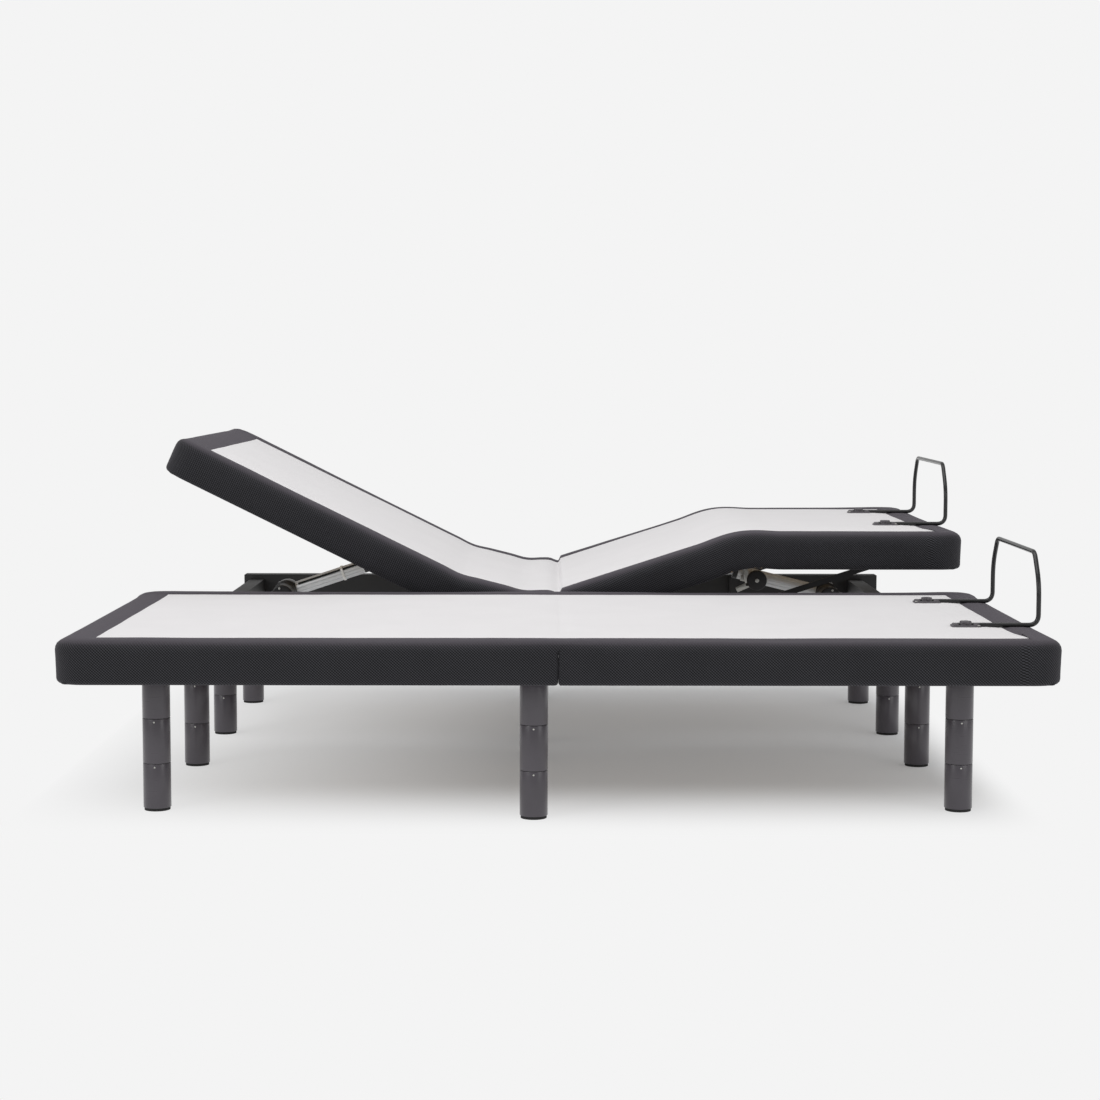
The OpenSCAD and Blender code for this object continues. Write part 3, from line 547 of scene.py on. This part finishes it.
# Plies about 1.5 mm thick show as darker lines on the edges.
plies = add(t, "ShaderNodeTexWave", {"bands_direction": "Z"}, {"Scale": 0.314 / 0.003}, {0: (place, "Object")})
facing = add(t, "ShaderNodeNewGeometry")
lies = add(t, "ShaderNodeSeparateXYZ", links={0: (facing, "Normal")})
flatness = add(t, "ShaderNodeMath", {"operation": "ABSOLUTE"}, links={0: (lies, "Z")})
edge_on = add(t, "ShaderNodeMapRange", values={1: 0.8, 2: 0.3}, links={0: (flatness, 0)})
shade = add(t, "ShaderNodeMath", {"operation": "MULTIPLY"}, links={0: (edge_on, 0), 1: (plies, "Fac")})
banded = add(t, "ShaderNodeMix", {"data_type": "RGBA"}, {7: tone("#8A6844")}, {0: (shade, 0), 6: (veneer, 2)})
relief = add(t, "ShaderNodeBump", values={"Strength": 0.3, "Distance": 0.0004}, links={"Height": (pores, "Fac")})
skin = add(t, "ShaderNodeBsdfPrincipled", {}, {"Roughness": 0.72}, {"Base Color": (banded, 2), "Normal": (relief, 0)})
t.links.new(skin.outputs[0], out.inputs["Surface"])


def wear(nodes, finish):
    """Gives CAD nodes a finish in place of their plain colour."""
    for name in nodes:
        frame["nodes"][name].data.materials.clear()
        frame["nodes"][name].data.materials.append(finish)


wear([f"{u}_{s}_panel" for u in ("front", "rear") for s in ("seat", "lumbar", "back", "thigh", "calf")], plywood)

# ---- steel frames ---------------------------------------------------------
# Welded square tube under every section and in the base, powder coated in a
# satin black with a very fine orange peel. Lugs, pins, tracks, joint plates
# and the calf stays are flat steel with the same coat.


def noise_of(t, scale, detail=2, stretch=(1, 1, 1), **values):
    """Noise over an object's own coordinates, drawn out where the surface was rolled or turned."""
    place = add(t, "ShaderNodeTexCoord")
    laid = add(t, "ShaderNodeMapping", values={"Scale": stretch}, links={0: (place, "Object")})
    values.update({"Scale": scale, "Detail": detail})
    return add(t, "ShaderNodeTexNoise", {}, values, {0: (laid, 0)}), "Fac"


def two_tone(t, out, deep, pale, patch, rough, relief=None, more={}):
    """A skin between two tones. Rough is a value or (low, high, texture), relief is (strength, depth, texture)."""
    tint = add(t, "ShaderNodeMix", {"data_type": "RGBA"}, {6: tone(deep), 7: tone(pale)}, {0: patch})
    skin = add(t, "ShaderNodeBsdfPrincipled", values=more, links={"Base Color": (tint, 2)})
    if isinstance(rough, tuple):
        gloss = add(t, "ShaderNodeMapRange", values={3: rough[0], 4: rough[1]}, links={0: rough[2]})
        t.links.new(gloss.outputs[0], skin.inputs["Roughness"])
    else:
        skin.inputs["Roughness"].default_value = rough
    if relief:
        bump = add(t, "ShaderNodeBump", {}, {"Strength": relief[0], "Distance": relief[1]}, {"Height": relief[2]})
        t.links.new(bump.outputs[0], skin.inputs["Normal"])
    t.links.new(skin.outputs[0], out.inputs["Surface"])


def powder_coat(name, deep, pale, rough, grain_mm, lift):
    """Powder coat: an even plastic skin, slightly orange-peeled, that greys a little where hands rub it."""
    made, t, out = coating(name)
    cloud = noise_of(t, 6, 4, Roughness=0.6)
    peel = noise_of(t, 1000 / grain_mm, 1)
    two_tone(t, out, deep, pale, cloud, (rough - 0.05, rough + 0.07, cloud), (lift, 0.0002, peel), {"IOR": 1.5})
    return made


frame_coat = powder_coat("satin_black_powder_coat", "#171718", "#202022", 0.50, 1.6, 0.35)
steel = ("head_frame", "foot_frame", "lumbar_links", "back_frame", "thigh_frame", "calf_frame", "calf_stays")
wear([f"{u}_{s}" for u in ("front", "rear") for s in steel], frame_coat)
wear(["frame_joint_plates", "unit_link_plates"], frame_coat)

# ---- legs -----------------------------------------------------------------
# Twelve round steel legs, each three turned tube segments that screw into
# one another, with a crisp edge at every joint and a small set screw there.

segment_low, segment_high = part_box("leg_bottom_segments")[0].z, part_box("leg_middle_segments")[0].z
segment_length = segment_high - segment_low
leg_radius, screw_drop, joint_line = 0.029, 0.007, 0.0006
end_leg, middle_leg = (0.842, 0.263), (-0.050, 0.345)
foot_places = []
for unit in ("front", "rear"):
    for side in (-1, 1):
        foot_places += [(e * end_leg[0], unit_middle[unit] + side * end_leg[1]) for e in (-1, 1)]
        foot_places.append((middle_leg[0], unit_middle[unit] + side * middle_leg[1]))

leg_coat, t, out = coating("black_enamelled_leg_tube")
# Enamel over turned steel: soft highlights that run up the tube, with faint rings.
rings = noise_of(t, 1, stretch=(20, 20, 900))
enamel = {"IOR": 1.52, "Coat Weight": 0.25, "Coat Roughness": 0.25}
two_tone(t, out, "#3B373D", "#4B464D", noise_of(t, 14, 3), (0.24, 0.36, rings), (0.12, 0.0002, rings), enamel)

screw_zinc, t, out = coating("zinc_plated_screw")
# Zinc plate: bright and slightly yellowed, with fine scratches from the driver.
scratch = noise_of(t, 900)
two_tone(t, out, "#A9A8A2", "#CFCFCB", scratch, (0.24, 0.42, scratch), more={"Metallic": 1})


def settle(ob):
    """Puts an object's place into its mesh."""
    bare_hands()
    ob.select_set(True)
    bpy.context.view_layer.objects.active = ob
    bpy.ops.object.transform_apply(location=True, rotation=True, scale=True)


def ring_of(name, radius, length, sides, middle, turn=(0, 0, 0), edge=0.001, segments=2):
    """A turned round piece with softened rims, ready in its place."""
    bare_hands()
    bpy.ops.mesh.primitive_cylinder_add(vertices=sides, radius=radius, depth=length, location=(0, 0, 0))
    ob = bpy.context.object
    ob.name = name
    bpy.ops.object.mode_set(mode="EDIT")
    pick(ob, "EDGE", lambda a, b: abs(a.z - b.z) < 1e-6)
    bpy.ops.mesh.bevel(offset=edge, segments=segments)
    bpy.ops.object.mode_set(mode="OBJECT")
    ob.rotation_euler, ob.location = turn, middle
    settle(ob)
    return ob


def gather(name, parts):
    """Joins parts into one piece."""
    bare_hands()
    for part in parts:
        part.select_set(True)
    bpy.context.view_layer.objects.active = parts[0]
    bpy.ops.object.join()
    ob = bpy.context.object
    ob.name = ob.data.name = name
    bpy.ops.object.shade_smooth_by_angle(angle=math.radians(35))
    return ob


def copy_of(ob, matrix):
    """A copy with its own mesh, moved by a matrix that stays in the mesh."""
    made = ob.copy()
    made.data = ob.data.copy()
    bpy.context.scene.collection.objects.link(made)
    made.data.transform(matrix)
    if matrix.determinant() < 0:
        made.data.flip_normals()
    return made


tube = ring_of("leg_tube", leg_radius, segment_length - joint_line, 64, (0, 0, segment_length / 2), edge=0.0011)
tube.data.materials.append(leg_coat)
bpy.ops.object.mode_set(mode="EDIT")
# A shallow recess in each end, where the neighbour's collar seats.
pick(tube, "FACE", lambda c, n: abs(n.z) > 0.99)
bpy.ops.mesh.inset(thickness=0.004, depth=-0.0009, use_individual=True)
bpy.ops.object.mode_set(mode="OBJECT")
screws = []
for y in (-1, 1):
    screw_place = (0, y * (leg_radius + 0.0001), segment_length - screw_drop)
    head = ring_of("set_screw", 0.0019, 0.0010, 14, screw_place, (math.pi / 2, 0, 0), 0.0004)
    bpy.ops.object.mode_set(mode="EDIT")
    pick(head, "FACE", lambda c, n: n.y * y > 0.9 and abs(c.x) < 0.001)
    bpy.ops.mesh.inset(thickness=0.0008, depth=-0.0005)
    bpy.ops.object.mode_set(mode="OBJECT")
    head.data.materials.append(screw_zinc)
    screws.append(head)
segment = gather("leg_segment", [tube] + screws)
for level, node in enumerate(("leg_bottom_segments", "leg_middle_segments", "leg_top_segments")):
    z = segment_low + level * segment_length + joint_line / 2
    row = [copy_of(segment, Matrix.Translation((x, y, z))) for x, y in foot_places]
    piece = gather(node.replace("_segments", "_tubes"), row)
    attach(piece, "base")
    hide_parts(node)
bpy.data.objects.remove(segment)

# The glides are moulded rubber discs pressed into the lowest segments.
rubber, t, out = coating("moulded_black_rubber")
# Dull and slightly grey with bloom, with a fine mould grain.
speck = noise_of(t, 700, 3)
two_tone(t, out, "#171717", "#242424", speck, 0.78, (0.3, 0.0002, speck), {"IOR": 1.45})
wear(["leg_glides", "front_switch_lead", "rear_switch_lead"], rubber)

# ---- rail end plugs -------------------------------------------------------
# Moulded plugs close the ends of the side rails: a flat face with softened
# edges that stands a little proud of the tube.


def sparks(t, scale):
    """The spark-eroded texture of a mould, as its socket."""
    place = add(t, "ShaderNodeTexCoord")
    return add(t, "ShaderNodeTexVoronoi", values={"Scale": scale}, links={0: (place, "Object")}), "Distance"


plug_plastic, t, out = coating("moulded_black_polypropylene")
# Mould-textured plastic with a low sheen.
two_tone(t, out, "#1B1B1D", "#2A2A2D", noise_of(t, 30, 3), 0.5, (0.25, 0.00015, sparks(t, 1400)), {"IOR": 1.49})


def moulding(name, size, middle, edge, segments=3):
    """A moulded block with rounded edges, in its place."""
    bare_hands()
    bpy.ops.mesh.primitive_cube_add(size=1, location=middle)
    ob = bpy.context.object
    ob.name = name
    ob.scale = size
    settle(ob)
    bpy.ops.object.mode_set(mode="EDIT")
    bpy.ops.mesh.select_all(action="SELECT")
    bpy.ops.mesh.bevel(offset=edge, segments=segments)
    bpy.ops.object.mode_set(mode="OBJECT")
    return ob


# The joint plates stand 4 mm inside the rail's edges, and the leg plates reach
# 10 mm past the rails' head ends.
plate_overhang, proud, rail_middle = 0.010, 0.0008, 0.392
rail_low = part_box("frame_joint_plates")[0].z - 0.004
plug_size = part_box("frame_joint_plates")[1].z + 0.004 - rail_low - 2 * proud
plugs = []
for unit in ("front", "rear"):
    rail_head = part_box(f"{unit}_head_frame")[0].x + plate_overhang
    rail_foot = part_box(f"{unit}_foot_frame")[1].x
    for x in (rail_head - proud, rail_foot + proud):
        for side in (-1, 1):
            y = unit_middle[unit] + side * rail_middle
            centre = (x, y, rail_low + plug_size / 2 + proud)
            plug = moulding("rail_plug", (0.0036, 0.0384, plug_size), centre, 0.0012, 2)
            bpy.ops.object.mode_set(mode="EDIT")
            pick(plug, "FACE", lambda c, n: abs(n.x) > 0.99 and (c.x - x) * x > 0)
            bpy.ops.mesh.inset(thickness=0.004, depth=-0.0007)
            bpy.ops.object.mode_set(mode="OBJECT")
            plugs.append(plug)
piece = gather("rail_end_plugs", plugs)
piece.data.materials.append(plug_plastic)
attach(piece, "base")

# ---- linear actuators -----------------------------------------------------
# Under each moving half: a moulded gear housing with a ribbed motor can on
# its side, an extruded aluminium guide tube with long grooves, and a ground
# push rod that ends in a roller. The housing turns on a cross bolt.

housing_plastic, t, out = coating("glass_filled_nylon_housing")
# Glass-filled nylon: black, slightly grey on its flow lines, with a fine spark texture.
flow = noise_of(t, 22, 4, Distortion=1.2)
two_tone(t, out, "#151516", "#232325", flow, (0.26, 0.42, flow), (0.3, 0.0002, sparks(t, 1100)), {"IOR": 1.52})

guide_metal, t, out = coating("extruded_anodised_aluminium")
# Extruded and anodised aluminium, pale silver, with faint drawing lines along the tube.
# Its colour is set paler still and less metallic as painted light, standing for the bright light the tube catches,
# which the lamps here don't bring under the deck.
lines = noise_of(t, 1, stretch=(4, 700, 700))
two_tone(t, out, "#D6D8DA", "#F0F1F2", lines, (0.34, 0.50, lines), more={"Metallic": 0.42})

tie_nylon, t, out = coating("natural_nylon_cable_tie")
# Natural nylon: milky white and a little waxy.
waxy = {"Subsurface Weight": 0.1, "Subsurface Radius": (0.002, 0.002, 0.002), "Subsurface Scale": 0.5}
two_tone(t, out, "#F2F1EE", "#FAFAF8", noise_of(t, 300), 0.4, more=waxy)

gear_x, gear_radius, motor_radius = 0.049, 0.032, 0.028
across = (math.pi / 2, 0, 0)
housing = ring_of("gear_housing", gear_radius, 0.052, 64, (gear_x, 0, 0), across, 0.004, 3)
bpy.ops.object.mode_set(mode="EDIT")
slice_mesh((gear_x + 0.0268, 0, 0), (1, 0, 0), clear_outer=True, use_fill=True)
# A pocket behind the guide tube, for the push rod's end.
pick(housing, "FACE", lambda c, n: n.x > 0.99 and c.x > gear_x + 0.0267)
bpy.ops.mesh.inset(thickness=0.004, depth=-0.014)
pick(housing, "FACE", lambda c, n: abs(n.y) > 0.99)
bpy.ops.mesh.inset(thickness=0.0045, depth=-0.0012, use_individual=True)
bpy.ops.mesh.inset(thickness=0.004, depth=0.0006, use_individual=True)
bpy.ops.object.mode_set(mode="OBJECT")
neck = moulding("tail_neck", (0.044, 0.016, 0.0255), (0.0225, 0, 0), 0.003)
eye = ring_of("tail_eye", 0.013, 0.016, 40, (0, 0, 0), across, 0.0012)
can = ring_of("motor_can", motor_radius, 0.094, 64, (gear_x, -0.0725, 0), across, 0.003, 3)
bpy.ops.object.mode_set(mode="EDIT")
for y in (-0.034, -0.040, -0.046, -0.052, -0.098, -0.104, -0.110):
    slice_mesh((0, y - 0.0012, 0), (0, 1, 0))
    slice_mesh((0, y + 0.0012, 0), (0, 1, 0))
    pick(can, "FACE", lambda c, n, y=y: abs(c.y - y) < 0.0011 and abs(n.y) < 0.3)
    bpy.ops.transform.shrink_fatten(value=-0.0011)
pick(can, "FACE", lambda c, n: n.y < -0.99)
bpy.ops.mesh.inset(thickness=0.007, depth=-0.0015)
bpy.ops.object.mode_set(mode="OBJECT")
cap = ring_of("gear_cap", 0.023, 0.0065, 48, (gear_x, 0.0280, 0), across, 0.0015)
ribs = []
for a in (math.radians(115), math.radians(145), math.radians(-115), math.radians(-145)):
    foot = (gear_x + gear_radius * math.cos(a), 0, gear_radius * math.sin(a))
    ribs.append(moulding("housing_rib", (0.003, 0.044, 0.004), foot, 0.0008, 2))
for part in [housing, neck, eye, can, cap] + ribs:
    part.data.materials.append(housing_plastic)
dots = []
for a in (90, 210, 330):
    for y, r in ((0.0316, 0.0165), (-0.1200, 0.0205)):
        spot = (gear_x + r * math.cos(math.radians(a)), y, r * math.sin(math.radians(a)))
        dot = ring_of("cover_screw", 0.0030, 0.0014, 16, spot, across, 0.0005)
        dot.data.materials.append(screw_zinc)
        dots.append(dot)
bolt = [ring_of("pivot_bolt_head", 0.0078, 0.0042, 6, (0, y, 0), across, 0.0006) for y in (-0.0112, 0.0112)]
for part in bolt:
    part.data.materials.append(screw_zinc)
motor = gather("motor_pattern", [housing, neck, eye, can, cap] + ribs + dots + bolt)


def guide_pattern(end):
    """The grooved tube with its collar, drawn along +X from the pivot."""
    bare_hands()
    start = gear_x + 0.0271
    bpy.ops.mesh.primitive_cylinder_add(vertices=72, radius=0.018, depth=end - start, end_fill_type="NOTHING")
    ob = bpy.context.object
    ob.rotation_euler, ob.location = (0, math.pi / 2, 0), ((start + end) / 2, 0, 0)
    settle(ob)
    wall = ob.modifiers.new("wall", "SOLIDIFY")
    wall.thickness, wall.offset = 0.0066, -1
    bpy.ops.object.modifier_apply(modifier="wall")
    bpy.ops.object.mode_set(mode="EDIT")
    bpy.ops.mesh.select_all(action="SELECT")
    bpy.ops.mesh.normals_make_consistent(inside=False)

    def in_groove(c, n):
        if abs(n.x) > 0.5 or math.hypot(c.y, c.z) < 0.015:
            return False
        a = math.degrees(math.atan2(c.z, c.y)) % 30
        return a < 4.9 or a > 25.1

    pick(ob, "FACE", in_groove)
    bpy.ops.mesh.inset(thickness=0.0004, depth=-0.0016)
    bpy.ops.object.mode_set(mode="OBJECT")
    ob.data.materials.append(guide_metal)
    bare_hands()
    bpy.ops.mesh.primitive_cylinder_add(vertices=64, radius=0.0183, depth=0.013, end_fill_type="NOTHING")
    collar = bpy.context.object
    collar.rotation_euler, collar.location = (0, math.pi / 2, 0), (end - 0.0062, 0, 0)
    settle(collar)
    wall = collar.modifiers.new("wall", "SOLIDIFY")
    wall.thickness, wall.offset = 0.0069, -1
    bpy.ops.object.modifier_apply(modifier="wall")
    soft = collar.modifiers.new("edge", "BEVEL")
    soft.width, soft.segments = 0.0012, 2
    bpy.ops.object.modifier_apply(modifier="edge")
    collar.data.materials.append(plug_plastic)
    return gather("guide_pattern", [ob, collar])


guides = {"back": guide_pattern(0.275), "thigh": guide_pattern(0.300)}

# The thigh tube's far end carries the end switch in a round case, held by an
# angled zinc-plated strap.
strap = moulding("switch_strap", (0.046, 0.0024, 0.015), (0.255, -0.0200, -0.012), 0.0007, 2)
fin = moulding("strap_arm", (0.056, 0.0024, 0.015), (0, 0, 0), 0.0007, 2)
fin.rotation_euler, fin.location = (0, math.radians(-62), 0), (0.266, -0.0290, -0.002)
settle(fin)
foot = moulding("strap_foot", (0.050, 0.0024, 0.014), (0, 0, 0), 0.0007, 2)
foot.rotation_euler, foot.location = (0, math.radians(38), 0), (0.262, -0.0290, -0.030)
settle(foot)
for part in (strap, fin, foot):
    part.data.materials.append(screw_zinc)
disc = ring_of("switch_disc", 0.0265, 0.014, 56, (0.236, -0.0275, -0.008), across, 0.0025, 3)
disc.data.materials.append(plug_plastic)
hub = ring_of("switch_hub", 0.0055, 0.0022, 20, (0.236, -0.0350, -0.008), across, 0.0006)
hub.data.materials.append(screw_zinc)
bracket = gather("switch_bracket_pattern", [strap, fin, foot, disc, hub])


def cable_tie(x):
    """A cable tie round the back guide tube and its lead: a thin band with a locking head."""
    bare_hands()
    bpy.ops.mesh.primitive_cylinder_add(vertices=56, radius=0.0192, depth=0.0060, end_fill_type="NOTHING")
    band = bpy.context.object
    band.rotation_euler, band.location = (0, math.pi / 2, 0), (x, 0, 0)
    settle(band)
    co = points(band)
    angle = np.arctan2(co[:, 2], co[:, 1])
    lead = math.atan2(0.0115, -0.0171)
    near = np.exp(-((np.angle(np.exp(1j * (angle - lead)))) / 0.24) ** 2)
    co[:, 1:] *= (1 + near * 0.235)[:, None]
    set_points(band, co)
    wall = band.modifiers.new("wall", "SOLIDIFY")
    wall.thickness, wall.offset = 0.0009, 1
    bpy.ops.object.modifier_apply(modifier="wall")
    lock = moulding("tie_lock", (0.0062, 0.0060, 0.0048), (x, -0.0185, -0.0085), 0.0008, 2)
    return [band, lock]


ties = gather("cable_tie_pattern", cable_tie(0.206))
ties.data.materials.append(tie_nylon)

for unit in ("front", "rear"):
    for half, mirror in (("back", 1), ("thigh", -1)):
        pivot = joint[f"{unit}_{half}_actuator_tilt"]["pos_m"]
        way = joint[f"{unit}_{half}_rod_slide"]["axis"]
        tilt = math.atan2(way[2], way[0] * mirror)
        lie = Matrix.Translation(pivot) @ Matrix.Scale(mirror, 4, (1, 0, 0)) @ Matrix.Rotation(-tilt, 4, "Y")
        body = f"{unit}_{half}_actuator"
        made = [(motor, f"{unit}_{half}_motor_unit", f"{unit}_{half}_motor", "motor_housing")]
        made.append((guides[half], f"{unit}_{half}_guide", f"{unit}_{half}_guide_tube", "guide_aluminium"))
        if half == "back":
            made.append((ties, f"{unit}_cable_ties", None, "lead_jacket"))
        else:
            made.append((bracket, f"{unit}_switch_bracket", None, "rod_steel"))
        for pattern, name, node, slot in made:
            piece = copy_of(pattern, lie)
            piece.name = piece.data.name = name
            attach(piece, body)
            if node:
                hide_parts(node)
for pattern in (motor, guides["back"], guides["thigh"], ties, bracket):
    bpy.data.objects.remove(pattern)

# The push rods and their rollers are ground steel, oiled.
rod_metal, t, out = coating("ground_steel")
# Ground round bar: bright, with hair-fine lines round the bar.
hair = noise_of(t, 1, stretch=(900, 60, 60))
two_tone(t, out, "#9C9DA0", "#BDBEC1", hair, (0.20, 0.36, hair), more={"Metallic": 1})
wear([f"{u}_{h}_push_rod" for u in ("front", "rear") for h in ("back", "thigh")], rod_metal)

# ---- control boxes --------------------------------------------------------
# A two-part moulded case on the middle cross tube, with a row of sockets.
wear(["front_control_box", "rear_control_box"], housing_plastic)

# ---- retainer bars --------------------------------------------------------
# A 10 mm round steel bar, bent to a hoop with cut-off corners and coated in
# gloss black. Its feet lie in two clamps on the top of the deck's foot end.

bar_coat = powder_coat("gloss_black_powder_coat", "#131314", "#1C1C1E", 0.17, 2.4, 0.12)


def rounded_path(corners, radii, steps=9):
    """The points of a bent bar: straight runs, and an arc at each corner."""
    path = [Vector(corners[0])]
    for before, at, after, radius in zip(corners, corners[1:], corners[2:], radii):
        at = Vector(at)
        a, b = (Vector(before) - at), (Vector(after) - at)
        half = a.angle(b) / 2
        cut = min(radius / math.tan(half), a.length * 0.45, b.length * 0.45)
        p, q = at + a.normalized() * cut, at + b.normalized() * cut
        for i in range(steps + 1):
            s = i / steps
            path.append((1 - s) ** 2 * p + 2 * s * (1 - s) * at + s * s * q)
    return path + [Vector(corners[-1])]


bar_lo, bar_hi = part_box("front_retainer_bar")
clamp_lo, clamp_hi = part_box("front_bar_clamps")
bar_r = 0.005
x1, z0, z1 = bar_hi.x - bar_r, bar_lo.z + bar_r, bar_hi.z - bar_r
y0 = (bar_hi.y - bar_lo.y) / 2 - bar_r
hoop = [(clamp_lo.x + 0.013, -y0, z0), (x1, -y0, z0), (x1, -y0, z1 - 0.062), (x1, -y0 + 0.048, z1)]
hoop += [(x, -y, z) for x, y, z in reversed(hoop)]
line = bpy.data.curves.new("hoop_line", "CURVE")
line.dimensions, line.bevel_depth, line.bevel_resolution, line.use_fill_caps = "3D", bar_r, 5, True
run_of = line.splines.new("POLY")
path = rounded_path(hoop, [0.022, 0.095, 0.034, 0.034, 0.095, 0.022])
run_of.points.add(len(path) - 1)
for point, p in zip(run_of.points, path):
    point.co = (*p, 1)
hoop_ob = bpy.data.objects.new("hoop_pattern", line)
bpy.context.scene.collection.objects.link(hoop_ob)
bare_hands()
hoop_ob.select_set(True)
bpy.context.view_layer.objects.active = hoop_ob
bpy.ops.object.convert(target="MESH")
hoop_ob = gather("hoop_pattern", [bpy.context.object])
hoop_ob.data.materials.clear()
hoop_ob.data.materials.append(bar_coat)

# The clamps are moulded: a foot plate, a saddle and two keepers over the bar,
# and a lobed knob that is turned by hand.
clamp_grey, t, out = coating("moulded_grey_abs")
# ABS in dark grey with an etched, slightly silky face.
two_tone(t, out, "#474448", "#5C585D", noise_of(t, 60), 0.42, (0.2, 0.00015, sparks(t, 1200)), {"IOR": 1.53})

cx, cz, length, height = (clamp_lo.x + clamp_hi.x) / 2, clamp_lo.z, clamp_hi.x - clamp_lo.x, clamp_hi.z - clamp_lo.z
plate = moulding("clamp_plate", (length, 0.030, 0.005), (cx, 0, cz + 0.0025), 0.0014)
saddle = moulding("clamp_saddle", (0.024, 0.018, 0.0115), (cx, 0, cz + 0.0060), 0.0042, 4)
ends = [moulding("clamp_end", (0.013, 0.021, 0.0085), (cx + 0.0215 * s, 0, cz + 0.0048), 0.0032, 4) for s in (-1, 1)]
stem = ring_of("knob_stem", 0.0125, 0.0065, 40, (cx, 0, cz + height - 0.0065), edge=0.0022, segments=3)
bpy.ops.object.mode_set(mode="EDIT")
# Five finger hollows round the knob.
pick(stem, "VERT", lambda v: math.cos(5 * math.atan2(v.y, v.x - cx)) < -0.2 and math.hypot(v.y, v.x - cx) > 0.006)
bpy.ops.transform.resize(value=(0.80, 0.80, 1), center_override=(cx, 0, cz))
bpy.ops.object.mode_set(mode="OBJECT")
screws = []
for s in (-1, 1):
    screw = ring_of("clamp_screw", 0.0034, 0.0016, 18, (cx + s * 0.0255, 0.0122 * s, cz + 0.0052), edge=0.0005)
    screw.data.materials.append(screw_zinc)
    screws.append(screw)
for part in [plate, saddle, stem] + ends:
    part.data.materials.append(clamp_grey)
clamp = gather("clamp_pattern", [plate, saddle, stem] + ends + screws)

for unit in ("front", "rear"):
    bar_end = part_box(f"{unit}_retainer_bar")[1]
    shift = Vector((bar_end.x - bar_hi.x, unit_middle[unit], bar_end.z - bar_hi.z))
    piece = copy_of(hoop_ob, Matrix.Translation(shift))
    piece.name = piece.data.name = f"{unit}_retainer_hoop"
    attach(piece, f"{unit}_calf")
    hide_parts(f"{unit}_retainer_bar")
    places = [Matrix.Translation(shift + Vector((0, s * y0, 0))) @ Matrix.Scale(s, 4, (0, 1, 0)) for s in (-1, 1)]
    pair = [copy_of(clamp, place) for place in places]
    piece = gather(f"{unit}_hoop_clamps", pair)
    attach(piece, f"{unit}_calf")
    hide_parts(f"{unit}_bar_clamps")
bpy.data.objects.remove(hoop_ob)
bpy.data.objects.remove(clamp)
